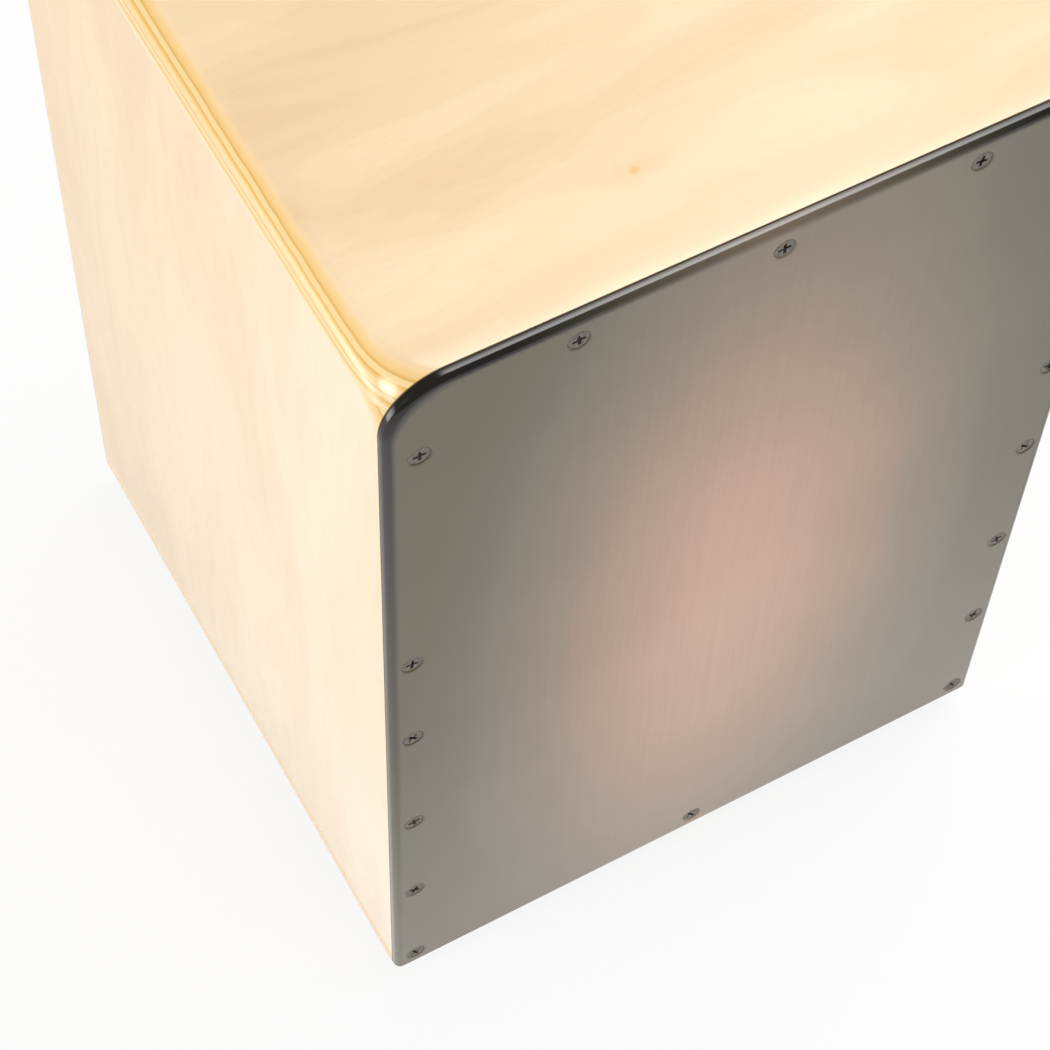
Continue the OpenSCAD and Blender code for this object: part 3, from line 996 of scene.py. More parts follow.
@dataclass
class BirchBox:
    """The plywood box: four doweled panels with rounded edges, and the back panel let in between them.

    The joint is the plane behind the front plate. The corners' radius eases into the edges' over the flare.
    The support is a narrow step of flat beside a curve, which keeps its shading level.
    """

    half_width: float = 150.0
    base: float = 12.0
    top: float = 462.0
    joint: float = -146.0
    back: float = 150.0
    panel: float = 12.0
    back_thickness: float = 6.0
    edge_radius: float = 12.0
    corner_radius: float = 25.0
    flare: float = 40.0
    flare_power: int = 4
    bottom_radius: float = 4.0
    least_radius: float = 0.4
    roll_top: float = 0.8
    roll_side: float = 0.4
    roll_length: float = 10.0
    front_ease: float = 0.35
    rear_ease: float = 1.5
    back_ease: float = 0.5
    support: float = 1.5
    ease_points: int = 7
    roll_points: int = 12
    flare_points: int = 22
    arc_steps: int = 28
    bottom_points: int = 11
    hole_centre: float = 192.0
    hole_radius: float = 57.5
    hole_ease: float = 1.2
    knot: Pair = (-33.5, -107.0)

    def rims(self) -> tuple[np.ndarray, np.ndarray, np.ndarray, np.ndarray]:
        """Works out the stations along the depth of the box.

        The insets are circles tangent to the box that roll its front rim in, more at the top than at the
        sides, plus a quarter round at each rim. The radius of the top edges falls from the corners' radius as
        a power of the way left to the flare's end.

        Returns:
            The distance behind the plate, the insets in X and in Z, and the radius of the top edges at each
            station.
        """
        depth = self.back - self.joint
        bow = np.sin(np.linspace(0, RIGHT_ANGLE, self.ease_points))
        distance = np.concatenate([
            self.front_ease * (1 - bow[::-1]),
            np.linspace(self.front_ease, self.roll_length, self.roll_points)[1:],
            np.linspace(self.roll_length, self.flare, self.flare_points)[1:],
            [self.flare + self.support, depth - self.rear_ease - self.support],
            depth - self.rear_ease * (1 - bow),
        ])
        left = np.clip(self.roll_length - distance, 0, None)
        ease = quarter(self.front_ease - distance, self.front_ease)
        ease += quarter(distance - depth + self.rear_ease, self.rear_ease)
        insets = []
        for rolled in (self.roll_side, self.roll_top):
            roll = (self.roll_length**2 + rolled**2) / (2 * rolled)
            insets.append(roll - np.sqrt(roll**2 - left**2) + ease)
        way = np.clip(1 - distance / self.flare, 0, None)
        radius = self.edge_radius + (self.corner_radius - self.edge_radius) * way**self.flare_power
        return distance, *insets, radius

    def edge_arc(self, low: float, high: float) -> tuple[np.ndarray, np.ndarray]:
        """Works out the rounded right top edge on each station, between two shares of its turn.

        The edge is a quarter ellipse, which the insets draw in from a circle. The joint plane cuts it where
        its sine is the part of its height below that plane.

        Args:
            low: Share from which the arc is taken, where 0 is the joint plane for the top panel.
            high: Share to which it is taken.

        Returns:
            X and Z of the arc, one row for each station. Shares below 0 run from the joint down to the side's
            flat.
        """
        _, inset_x, inset_z, radius = self.rims()
        wide, tall = radius - inset_x, radius - inset_z
        joint_angle = np.arcsin(np.clip((radius - self.panel) / tall, 0, 1))[:, None]
        share = np.linspace(low, high, self.arc_steps + 1)
        above, below = joint_angle + (RIGHT_ANGLE - joint_angle) * share, joint_angle * (1 + share)
        angle = np.where(share >= 0, above, below)
        x = (self.half_width - radius)[:, None] + wide[:, None] * np.cos(angle)
        z = (self.top - radius)[:, None] + tall[:, None] * np.sin(angle)
        return x, z

    def along_depth(self, x: np.ndarray, z: np.ndarray) -> Surface:
        """Carries a section along the depth of the box.

        Args:
            x: X of the section's points, one row for each station.
            z: Their Z.

        Returns:
            The solid through the sections.
        """
        distance, _, _, _ = self.rims()
        y = np.broadcast_to((self.joint + distance)[:, None], x.shape)
        return loft(np.stack([x, y, z], axis=-1))

    def mirrored(self, x: np.ndarray, z: np.ndarray) -> Surface:
        """Returns the solid through sections that are given by their right halves alone."""
        x, z = np.column_stack([x, x[:, -1] - self.support]), np.column_stack([z, z[:, -1]])
        return self.along_depth(np.hstack([x, -x[:, ::-1]]), np.hstack([z, z[:, ::-1]]))

    def top_panel(self) -> Surface:
        """Returns the seat, whose section is the two rounded edges above the joint plane."""
        return self.mirrored(*self.edge_arc(0, 1))

    def side_panel(self, side: Side) -> Surface:
        """Makes a side panel, whose section runs up its outer face and round what the flare leaves it.

        Args:
            side: Its side of the box.

        Returns:
            The panel at its place.
        """
        x, z = self.edge_arc(-1, 0)
        inner = np.full(len(x), self.half_width - self.panel)
        floor, roof = np.full(len(x), self.base + self.panel), np.full(len(x), self.top - self.panel)
        x = np.column_stack([inner, x[:, 0], x[:, 0], x, inner])
        z = np.column_stack([floor, floor, z[:, 0] - self.support, z, roof])
        return self.along_depth(side.value * x, z)

    def bottom_panel(self) -> Surface:
        """Makes the bottom panel, whose section runs down one side, round both edges and up the other.

        Returns:
            The panel at its place.
        """
        _, inset, _, _ = self.rims()
        radius = np.maximum(self.bottom_radius - inset, self.least_radius)[:, None]
        outer = (self.half_width - inset)[:, None]
        angle = np.linspace(RIGHT_ANGLE, 0, self.bottom_points)
        x = outer - radius + radius * np.sin(angle)
        z = (self.base + inset)[:, None] + radius - radius * np.cos(angle)
        roof = np.full(len(x), self.base + self.panel)
        return self.mirrored(np.column_stack([outer, x]), np.column_stack([roof, z]))

    def back_panel(self) -> Surface:
        """Makes the back panel with its sound hole.

        Returns:
            The panel at its place.
        """
        half, middle = node_middle("back_panel")
        centre = (0.0, self.hole_centre - middle[2])
        board = bored_board(half[0], half[2], 2 * half[1], centre, self.hole_radius, self.back_ease,
                            self.hole_ease)
        return board.placed(np.array([[1, 0, 0], [0, 0, 1], [0, 1, 0]]), middle)

    def build(self) -> None:
        """Adds the five panels, each with its own sheet of plywood."""
        # The side panels get a paler, less golden copy of the birch: painted light from the white floor that
        # they face. Their painted shade darkens and warms it again towards the top and back.
        pale = {"light": "#f5e5cd", "dark": "#ecd7ba", "pore": "#dfc29f", "painted_falloff": "#eedec2"}
        wide, top_roll, side_roll = self.half_width, self.roll_top, self.roll_side
        sheets = (
            ("top_panel", self.top_panel(), Axis.X, Axis.Z, self.top, top_roll,
             {"seed": 3.1, "knot": (*self.knot, self.top)}),
            ("bottom_panel", self.bottom_panel(), Axis.X, Axis.Z, self.base, side_roll, {"seed": 8.4}),
            ("left_side_panel", self.side_panel(Side.LEFT), Axis.Z, Axis.X, -wide, side_roll,
             {"seed": 5.2, **pale}),
            ("right_side_panel", self.side_panel(Side.RIGHT), Axis.Z, Axis.X, wide, side_roll,
             {"seed": 1.9, **pale}),
            ("back_panel", self.back_panel(), Axis.Z, Axis.Y, self.back, 0.0,
             {"seed": 6.6, "thickness": self.back_thickness}),
        )
        for node, surface, grain, depth, face, roll, sheet in sheets:
            name = f"lacquered_birch_{node.split('_')[0]}"
            finish = LacqueredBirch(name, grain, depth, face, roll, self.joint, self.roll_length, **sheet)
            add_piece(f"birch_{node}", surface, finish.build(), "box", [node])


@dataclass
class FrontPlate:
    """The playing plate: thin, round at its border, with a countersunk hole for each screw.

    Its edge is an arris at the back, a wall that leans in by the crown, and a border that rises over the
    shoulder. The wall is drawn between two shares of its height. An arris or a lip has its middle at a share
    of its size.
    """

    box: BirchBox
    face: float = -150.0
    thickness: float = 4.0
    ledge: float = 0.5
    border: float = 2.85
    border_start: float = 46.0
    shoulder: float = 1.9
    crown: float = 0.27
    arris: float = 0.25
    arris_middle: float = 0.3
    wall: Pair = (0.15, 0.92)
    flat_rings: Pair = (0.15, 0.3)
    sink_radius: float = 4.8
    hole_radius: float = 2.3
    lip: float = 0.15
    lip_middle: float = 0.3
    lip_flat: float = 3.0
    head_depth: float = 0.3
    corner_spray: float = 3.0
    corner_points: int = 37
    bottom_points: int = 9
    wall_points: int = 7
    border_steps: int = 14
    hole_steps: int = 48
    corner_spot: Pair = (136.4, 422.0)
    top_row: Pair = (78.0, 448.4)
    side_row: float = 140.0
    side_rises: tuple[float, ...] = (11.0, 76.0, 141.0, 214.0, 272.0)
    crease: float = 14.0

    @property
    def corner_spots(self) -> list[Pair]:
        """Places of the two corner screws in X and Z, left first."""
        x, z = self.corner_spot
        return [(side.value * x, z) for side in Side]

    @property
    def fixed_spots(self) -> list[Pair]:
        """Places of the screws that stay put.

        Returns:
            X and Z of the top row, of both side rows and of the middle of the bottom.
        """
        spacing, height = self.top_row
        top_row = [(k * spacing, height) for k in (-1, 0, 1)]
        base = self.box.base
        sides = [(side.value * self.side_row, base + rise) for side in Side for rise in self.side_rises]
        return top_row + sides + [(0.0, base + self.side_rises[0])]

    def outline(self, inset: float) -> np.ndarray:
        """Makes the plate's loop: wide quarter ellipses at the top corners, small quarter circles below.

        At the top the plate also stands back from the rim by a narrow ledge.

        Args:
            inset: How far the loop is drawn in.

        Returns:
            One row of X and Z for each point.
        """
        box = self.box
        side, head = box.roll_side + inset, box.roll_top + self.ledge + inset
        reach, bottom = box.corner_radius, max(box.bottom_radius - side, box.least_radius)
        wide = np.linspace(0, RIGHT_ANGLE, self.corner_points)
        small = np.linspace(0, RIGHT_ANGLE, self.bottom_points)
        right, low = box.half_width - side, box.base + side
        upper = np.stack([box.half_width - reach + (reach - side) * np.cos(wide),
                          box.top - reach + (reach - head) * np.sin(wide)], axis=1)
        lower = np.stack([right - bottom + bottom * np.sin(small),
                          low + bottom - bottom * np.cos(small)], axis=1)
        mirror = np.array([-1, 1])
        return np.concatenate([upper, upper[::-1] * mirror, lower[::-1] * mirror, lower])

    def edge_distance(self, points: np.ndarray) -> np.ndarray:
        """Works out how far points lie inside the plate's edge, as the distance to a rounded rectangle.

        The corner radius is the top one over the middle of the plate and the bottom one under it. At the top
        it is taken a little larger than the plate's own, because the black was sprayed on more thickly round
        the corners.

        Args:
            points: One row of X, Y and Z for each point.

        Returns:
            The distance of each point.
        """
        box = self.box
        low, high = box.base + box.roll_side, box.top - box.roll_top - self.ledge
        half = np.array([box.half_width - box.roll_side, (high - low) / 2])
        offset = points[:, [0, 2]] - [0.0, (high + low) / 2]
        top_radius = box.corner_radius + self.corner_spray - box.roll_top - self.ledge
        radius = np.where(offset[:, 1] > 0, top_radius, box.bottom_radius - box.roll_side)
        past = np.abs(offset) - half + radius[:, None]
        outside = np.linalg.norm(np.clip(past, 0, None), axis=1)
        return radius - outside - np.clip(past.max(axis=1), None, 0)

    def edge_levels(self) -> np.ndarray:
        """Works out the rings round the plate's edge, from its back face to its front one.

        Over the back arris, the edge is a short wall that leans in with the square of its rise, then a border
        that is the last part of a quarter ellipse, from its starting angle until it runs level with the face.
        Two narrow rings on the flat keep its shading level.

        Returns:
            One row of Y and inset for each ring.
        """
        back, level = self.face + self.thickness, self.crown + self.border
        turn = np.radians(np.linspace(self.border_start, 90, self.border_steps))
        wide, tall = self.border / math.cos(turn[0]), self.shoulder / (1 - math.sin(turn[0]))
        rise = np.linspace(*self.wall, self.wall_points)
        middle = self.arris_middle * self.arris
        height = self.thickness - self.arris - self.shoulder
        return np.concatenate([
            [[back, self.arris], [back - middle, middle], [back - self.arris, 0.0]],
            np.column_stack([back - self.arris - rise * height, self.crown * rise**2]),
            np.column_stack([self.face + tall * (1 - np.sin(turn)), level - wide * np.cos(turn)]),
            [[self.face, level + ring] for ring in self.flat_rings],
        ])

    def hole_profile(self) -> np.ndarray:
        """Works out the profile of a screw hole: a ring of flat, a lip, a cone and a bore.

        Returns:
            One row of radius and Y for each point.
        """
        sink, hole, lip, face = self.sink_radius, self.hole_radius, self.lip, self.face
        middle = self.lip_middle * lip
        return np.array([
            [sink + self.lip_flat * lip, face], [sink + lip, face], [sink + middle, face + middle],
            [sink - lip, face + lip], [hole, face + sink - hole], [hole, face + self.thickness],
        ])

    def surface(self) -> Surface:
        """Makes the plate with its holes.

        Its edge is carried round the outline, and each hole's profile round its screw. Flat triangles, from a
        planar triangulation of the loops, join them on both faces.

        Returns:
            The plate at its place.
        """
        rings = []
        for y, inset in self.edge_levels():
            loop = self.outline(inset)
            rings.append(np.column_stack([loop[:, 0], np.full(len(loop), y), loop[:, 1]]))
        count = len(rings[0])
        faces = grid_faces(len(rings), count, wrap_rows=False)
        points = [np.concatenate(rings)]

        profile = self.hole_profile()
        tube = revolved(profile, self.hole_steps)[:, :, [0, 2, 1]]
        total = len(rings) * count
        front_loops = [list(range(total - count, total))]
        back_loops = [list(range(count))]
        for x, z in self.fixed_spots + self.corner_spots:
            faces += grid_faces(len(profile), self.hole_steps, wrap_rows=False, first=total)
            points.append((tube + [x, 0.0, z]).reshape(-1, 3))
            front_loops.append(list(range(total, total + self.hole_steps)))
            total += len(profile) * self.hole_steps
            back_loops.append(list(range(total - self.hole_steps, total)))
        everything = np.concatenate(points)
        faces += flat_with_holes(everything, front_loops) + flat_with_holes(everything, back_loops)
        return Surface(everything, faces)

    def build(self) -> None:
        """Adds the plate and writes how far each of its points lies from the edge, for the black border."""
        finish = BurstLacquer("burst_lacquered_veneer", self.face + self.thickness)
        plate = add_piece("burst_front_plate", self.surface(), finish.build(), "box", ["front_plate"],
                          self.crease)
        mesh = plate.data
        work = bmesh.new()
        work.from_mesh(mesh)
        bmesh.ops.recalc_face_normals(work, faces=work.faces)
        work.to_mesh(mesh)
        work.free()
        points = np.empty(len(mesh.vertices) * 3, np.float32)
        mesh.vertices.foreach_get("co", points)
        border = mesh.attributes.new("border", "FLOAT", "POINT")
        border.data.foreach_set("value", self.edge_distance(points.reshape(-1, 3) / MM).astype(np.float32))


def flat_with_holes(points: np.ndarray, loops: list[list[int]]) -> list[list[int]]:
    """Fills a flat face in X and Z between its outer loop and the loops of its holes.

    Args:
        points: All the surface's points.
        loops: Point numbers of the outer loop, then of each hole.

    Returns:
        Triangles between the loops, as point numbers.
    """
    numbers = np.concatenate(loops)
    flat = [Vector((float(x), float(z))) for x, z in points[numbers][:, [0, 2]]]
    ends = np.cumsum([0] + [len(loop) for loop in loops])
    borders = [list(range(low, high)) for low, high in zip(ends[:-1], ends[1:])]
    inside_with_holes, nearness = 2, 1e-6
    _, _, triangles, sources, _, _ = delaunay_2d_cdt(flat, [], borders, inside_with_holes, nearness)
    return [[int(numbers[sources[corner][0]]) for corner in triangle] for triangle in triangles]


@dataclass(frozen=True)
class CrossHeadScrew:
    """Wood screw with a cross recess, in local U, V and W with W along its body from the flat of its head.

    Attributes:
        profile: Radius and W from the flat of the head round its rim and down to the start of the thread.
        thread_end: W where the thread ends and the tip begins.
        tip: W of the tip.
        outer: Radius of the thread.
        cross_length: Length of the recess across the head.
        cross_width: Width of its slots.
        cross_depth: Depth of its middle.
        cross_slope: How much of its depth the recess loses over half its length, times two.
        cross_shares: Shares of the way out at which the recess has a ring.
        cross_ease: Ease of its edge.
        pitch: Rise of the thread in one turn.
        root: Radius of the thread's root, as a share of the outer one.
        steepness: How fast the ridge falls from its crest, in shares of the pitch.
        lead: W from the profile's end to the thread's start.
        thread_rings: Number of rings along the thread.
        point: Radius of the tip.
    """

    profile: tuple[Pair, ...]
    thread_end: float
    tip: float
    outer: float
    cross_length: float = 5.0
    cross_width: float = 1.25
    cross_depth: float = 2.0
    cross_slope: float = 1.6
    cross_shares: Triple = (0.0, 0.4, 0.92)
    cross_ease: float = 0.08
    pitch: float = 1.4
    root: float = 0.72
    steepness: float = 3.2
    lead: float = 0.2
    thread_rings: int = 34
    point: float = 0.2

    def angles(self) -> np.ndarray:
        """Works out directions round the head, with one at each corner of the cross.

        Returns:
            The angles of all four quadrants.
        """
        corner, between = math.atan2(self.cross_width, self.cross_length), 3
        marks = [0.0, corner, RIGHT_ANGLE / 2, RIGHT_ANGLE - corner, RIGHT_ANGLE]
        quadrant = np.concatenate([
            np.linspace(low, high, between, endpoint=False) for low, high in zip(marks[:-1], marks[1:])])
        return np.concatenate([quadrant + k * RIGHT_ANGLE for k in range(4)])

    def cross_reach(self, angle: np.ndarray) -> np.ndarray:
        """Works out how far the cross reaches, as the longer of the ways out of its two slots.

        Args:
            angle: Directions from the middle of the head.

        Returns:
            The reach in each direction.
        """
        cosine = np.maximum(np.abs(np.cos(angle)), NEARLY_ZERO)
        sine = np.maximum(np.abs(np.sin(angle)), NEARLY_ZERO)
        length, width = self.cross_length / 2, self.cross_width / 2
        level = np.minimum(length / cosine, width / sine)
        upright = np.minimum(width / cosine, length / sine)
        return np.maximum(level, upright)

    def surface(self) -> Surface:
        """Makes the screw as rings about its axis.

        The recess falls from the ends of its slots to its middle along a cone. The thread is a ridge that
        turns once round the body for each pitch.

        Returns:
            The screw, with the flat of its head at the profile's first W.
        """
        angle = self.angles()
        reach = self.cross_reach(angle)
        flat, start = self.profile[0][1], self.profile[-1][1]
        rings: list[tuple[np.ndarray, np.ndarray | float]] = []
        for share in self.cross_shares:
            fall = self.cross_slope * share * reach / self.cross_length
            rings.append((share * reach, flat + self.cross_depth * (1 - fall)))
        rings += [(reach, flat + self.cross_ease), (reach + self.cross_ease, flat)]
        rings += [(np.full_like(reach, radius), w) for radius, w in self.profile]
        for w in np.linspace(start + self.lead, self.thread_end, self.thread_rings):
            phase = (w / self.pitch - angle / math.tau) % 1.0
            ridge = np.clip(1 - self.steepness * np.abs(phase - 0.5), 0, 1)
            rings.append((self.outer * (self.root + (1 - self.root) * ridge), w))
        rings.append((np.full_like(reach, self.point), self.tip))
        return loft(np.stack([
            np.stack([radius * np.cos(angle), radius * np.sin(angle), w + 0 * angle], axis=-1)
            for radius, w in rings]))


def pan_screw(length: float) -> Surface:
    """Makes a small screw about its own axis, with a domed head over W = 0.

    Args:
        length: Its length under the head.

    Returns:
        The screw.
    """
    point, outer = 3.0, 1.45
    head = ((1.9, -2.2), (2.3, -2.1), (2.7, -1.7), (2.95, -1.0), (3.0, -0.3), (2.9, 0.0),
            (outer, 0.0), (1.05, 0.3))
    return CrossHeadScrew(head, length - point, length, outer, cross_length=3.4, cross_width=0.8,
                          cross_depth=1.5, pitch=1.2).surface()


def facing(u: Sequence[float], w: Sequence[float]) -> np.ndarray:
    """Returns the matrix that turns local U and W to two directions at right angles, and V to the third."""
    u_way, w_way = np.asarray(u, float), np.asarray(w, float)
    return np.column_stack([u_way, np.cross(w_way, u_way), w_way])


@dataclass
class PlateScrews:
    """The countersunk screws of the front plate, in dark nickel. The two corner screws turn by themselves.

    The head's rim is given as insets from its radius and depths under its flat. The first screws of the top
    row have turns of their own, and those of the others follow in even steps.
    """

    plate: FrontPlate
    head_radius: float = 4.4
    rim: tuple[Pair, ...] = ((0.85, 0.0), (0.6, 0.05), (0.3, 0.17), (0.08, 0.34), (0.1, 0.45))
    neck_radius: float = 1.9
    neck_end: float = 3.6
    neck_step: float = 0.1
    thread_end: float = 16.9
    tip: float = 19.7
    outer: float = 1.4
    first_turns: tuple[int, ...] = (8, 3)
    turn_step: int = 37
    corner_turn: int = 4

    def screw(self) -> Surface:
        """Makes one screw about its own axis, its head slightly rounded at the rim.

        Returns:
            The screw.
        """
        r, neck = self.head_radius, self.neck_radius
        profile = (
            *((r - inset, w) for inset, w in self.rim), (neck, r - neck), (neck, self.neck_end),
            (self.outer * CrossHeadScrew.root, self.neck_end + self.neck_step),
        )
        return CrossHeadScrew(profile, self.thread_end, self.tip, self.outer).surface()

    def at(self, spot: Pair, degrees: float) -> Surface:
        """Sets a screw at its place in the plate.

        Args:
            spot: Its X and Z.
            degrees: How far its cross is turned.

        Returns:
            The screw at its place.
        """
        a = math.radians(degrees)
        turn = facing((math.cos(a), 0, math.sin(a)), (0, 1, 0))
        return self.screw().placed(turn, (spot[0], self.plate.face + self.plate.head_depth, spot[1]))

    def build(self) -> None:
        """Adds the fixed screws as one piece, each driven home at its own angle, and the corner screws."""
        steel = PlatedSteel("dark_nickel_plated_steel", "#7f7a71", "#64605a", 0.32, 0.48).build()
        spots = self.plate.fixed_spots
        turns = [(self.turn_step * k + self.corner_turn) % 90 for k in range(len(spots))]
        turns[:len(self.first_turns)] = self.first_turns
        screws = Surface.joined(self.at(spot, turn) for spot, turn in zip(spots, turns))
        add_piece("nickel_plate_screws", screws, steel, "box", ["plate_screws"])
        for side, spot in zip(Side, self.plate.corner_spots):
            name = side.name.lower()
            add_piece(f"nickel_corner_screw_{name}", self.at(spot, self.corner_turn), steel,
                      f"{name}_corner_screw", [f"corner_screw_{name}"])


@dataclass
class InnerFrame:
    """The square strips glued inside the rims, and the dowels of the panel joints."""

    ease: float = 1.2

    def build(self) -> None:
        """Adds the strips with eased edges where the CAD has them, and dresses the hidden dowels."""
        straw = ("#ecd3a2", "#dcb87f", "#c89c62")
        woods = {
            axis: SandedWood(f"planed_spruce_{axis.name.lower()}", axis, *straw).build()
            for axis in (Axis.X, Axis.Z)}
        edges = {"top": Axis.X, "bottom": Axis.X, "left": Axis.Z, "right": Axis.Z}
        for rim in ("front", "back"):
            for edge, axis in edges.items():
                node = f"{rim}_strip_{edge}"
                strip = eased_bar(*node_box(node), self.ease)
                add_piece(f"spruce_{node}", strip, woods[axis], "box", [node])
        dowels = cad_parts["panel_dowels"]
        dowels.data.materials.clear()
        dowels.data.materials.append(SandedWood("sanded_beech_dowels", Axis.Z).build())
        LOG.info("panel_dowels: dressed CAD node")


@dataclass
class Snare:
    """The snare: a turning bar in two blocks, with two sets of coiled wires that lean on the front plate.

    The strands of a set are soldered to a steel plate, which is screwed through its ears to a flat on the
    bar.
    """

    bar_radius: float = 11.0
    bore_radius: float = 11.05
    bar_y: float = -107.0
    bar_z: float = 287.0
    bar_length: float = 275.0
    bar_ease: float = 1.0
    bar_steps: int = 96
    ease_points: int = 5
    flat: float = 8.0
    flat_width: float = 69.0
    set_offset: float = 60.0
    lean: float = 15.04
    strands: int = 10
    strand_pitch: float = 5.0
    strand_radius: float = 0.8
    strand_start: float = 1.0
    strand_length: float = 110.0
    fan: float = 8.0
    wire_radius: float = 0.24
    wire_sides: int = 5
    coil_pitch: float = 1.15
    coil_points: int = 9
    plate_height: float = 13.0
    plate_thickness: float = 1.0
    plate_ease: float = 0.2
    plate_ear: float = 10.0
    solder_lap: float = 2.0
    solder_depth: Pair = (1.1, 0.2)
    solder_rise: Pair = (-4.6, -1.2)
    solder_ease: float = 0.5
    block_ease: float = 1.5
    bore_ease: float = 0.6
    block_screw: float = 28.0
    block_screw_rise: float = 15.5
    block_screw_turn: float = 0.5
    wire_screw: float = 11.0
    wire_screw_turn: float = 0.8

    @property
    def set_width(self) -> float:
        """Distance between the outer strands of one set."""
        return (self.strands - 1) * self.strand_pitch

    def on_bar(self, surface: Surface) -> Surface:
        """Sets a surface on the bar, which leans to the front by a turn about X.

        Args:
            surface: The surface, made about the upright bar.

        Returns:
            The surface at its place.
        """
        a = math.radians(self.lean)
        lean = np.array([[1, 0, 0], [0, math.cos(a), -math.sin(a)], [0, math.sin(a), math.cos(a)]])
        return surface.placed(lean, (0.0, self.bar_y, self.bar_z))

    def bar(self) -> Surface:
        """Makes the bar.

        Its section is a circle, cut at the flats to the radius at which a ray meets the flat: the flat's
        distance over the cosine of the ray's angle to it. The ends are drawn in by a quarter round.

        Returns:
            The bar at its place.
        """
        ease, half = self.bar_ease, self.bar_length / 2
        bow = ease * np.sin(np.linspace(0, RIGHT_ANGLE, self.ease_points))
        low, high = self.set_offset - self.flat_width / 2, self.set_offset + self.flat_width / 2
        right = np.concatenate([[low, low, high, high], half - ease + bow])
        cut = np.array([False, True, True, False] + [False] * len(bow))
        drawn = np.concatenate([np.zeros(4), quarter(bow, ease)])
        x = np.concatenate([-right[::-1], right])
        cut = np.concatenate([cut[::-1], cut])
        drawn = np.concatenate([drawn[::-1], drawn])
        angle = np.arange(self.bar_steps) * math.tau / self.bar_steps
        toward = np.maximum(-np.cos(angle), NEARLY_ZERO)
        whole = (self.bar_radius - drawn)[:, None] + 0 * angle
        radius = np.where(cut[:, None], np.minimum(whole, self.flat / toward), whole)
        rings = np.stack([
            x[:, None] + 0 * angle, radius * np.cos(angle), radius * np.sin(angle)], axis=-1)
        return self.on_bar(loft(rings))

    def strand(self, x: float, degrees: float) -> Surface:
        """Makes one strand: a tight coil of wire, as a tube carried along a helix about the strand's line.

        Args:
            x: Where the strand crosses its steel plate.
            degrees: Its fan angle.

        Returns:
            The strand about the upright bar.
        """
        a = math.radians(degrees)
        line = np.array([math.sin(a), 0.0, math.cos(a)])
        side = np.array([math.cos(a), 0.0, -math.sin(a)])
        front = np.array([0.0, -1.0, 0.0])
        start, end = self.strand_start - self.plate_height / 2, self.strand_length
        turns = (end - start) / self.coil_pitch
        t = np.linspace(0, 1, int(turns * self.coil_points))[:, None]
        coil = self.strand_radius - self.wire_radius
        phase = math.tau * turns * t
        outward = side * np.cos(phase) + front * np.sin(phase)
        ahead = line * self.coil_pitch / math.tau + coil * (front * np.cos(phase) - side * np.sin(phase))
        ahead /= np.linalg.norm(ahead, axis=1, keepdims=True)
        across = np.cross(ahead, outward)
        height = self.flat + self.plate_thickness + self.strand_radius / 2
        middle = np.array([x, -height, 0.0]) + line * (start + (end - start) * t) + coil * outward
        around = (np.arange(self.wire_sides) * math.tau / self.wire_sides)[:, None]
        ring = outward[:, None] * np.cos(around) + across[:, None] * np.sin(around)
        return loft(middle[:, None] + self.wire_radius * ring)

    def wires(self, side: Side) -> Surface:
        """Makes one set: its strands, the steel plate under them and the solder that holds them on it.

        Args:
            side: Its side of the snare.

        Returns:
            The set at its place.
        """
        half, middle = self.set_width / 2, side.value * self.set_offset
        shares = np.linspace(-1, 1, self.strands)
        parts = [self.strand(middle + share * half, share * self.fan) for share in shares]
        reach, rise = half + self.plate_ear, self.plate_height / 2
        face = -self.flat - self.plate_thickness
        parts.append(eased_bar((middle - reach, face, -rise), (middle + reach, -self.flat, rise),
                               self.plate_ease))
        reach, (over, into), (low, high) = half + self.solder_lap, self.solder_depth, self.solder_rise
        parts.append(eased_bar((middle - reach, face - over, low), (middle + reach, face + into, high),
                               self.solder_ease))
        return self.on_bar(Surface.joined(parts))

    def block(self, side: Side) -> Surface:
        """Makes a bar block, bored for the bar.

        Args:
            side: Its side of the box.

        Returns:
            The block at its place.
        """
        half, middle = node_middle(f"bar_block_{side.name.lower()}")
        board = bored_board(half[1], half[2], 2 * half[0], (0.0, 0.0), self.bore_radius, self.block_ease,
                            self.bore_ease)
        return board.placed(np.array([[0, 0, 1], [1, 0, 0], [0, 1, 0]]), middle)

    def build(self) -> None:
        """Adds the blocks and their screws on the box, and the bar, wires and screws that turn together."""
        beech = SandedWood("sanded_beech_bar", Axis.X).build()
        zinc = PlatedSteel("bright_zinc_plated_steel", "#c9c8c4", "#9c9a95", 0.22, 0.4).build()
        spring = PlatedSteel("drawn_spring_steel", "#d2d0cb", "#aeaca6", 0.16, 0.3).build()
        parts = []
        for side in Side:
            name = f"bar_block_{side.name.lower()}"
            add_piece(f"beech_{name}", self.block(side), beech, "box", [name])
            half, middle = node_middle(name)
            face = middle[0] - side.value * half[0]
            for end in (-1, 1):
                a = self.block_screw_turn * end
                turn = facing((0, math.cos(a), math.sin(a)), (side.value, 0, 0))
                place = (face, self.bar_y, self.bar_z + end * self.block_screw_rise)
                parts.append(pan_screw(self.block_screw).placed(turn, place))
        add_piece("zinc_bar_block_screws", Surface.joined(parts), zinc, "box", ["bar_block_screws"])

        add_piece("beech_snare_bar", self.bar(), beech, "snare", ["snare_bar"])
        ear = (self.set_width + self.plate_ear) / 2
        parts = []
        for side in Side:
            name = f"snare_wires_{side.name.lower()}"
            add_piece(f"coiled_{name}", self.wires(side), spring, "snare", [name])
            for end in (-1, 1):
                a = self.wire_screw_turn * end
                turn = facing((math.cos(a), 0, math.sin(a)), (0, 1, 0))
                place = (side.value * self.set_offset + end * ear, -self.flat - self.plate_thickness, 0.0)
                parts.append(self.on_bar(pan_screw(self.wire_screw).placed(turn, place)))
        add_piece("zinc_snare_wire_screws", Surface.joined(parts), zinc, "snare", ["snare_wire_screws"])


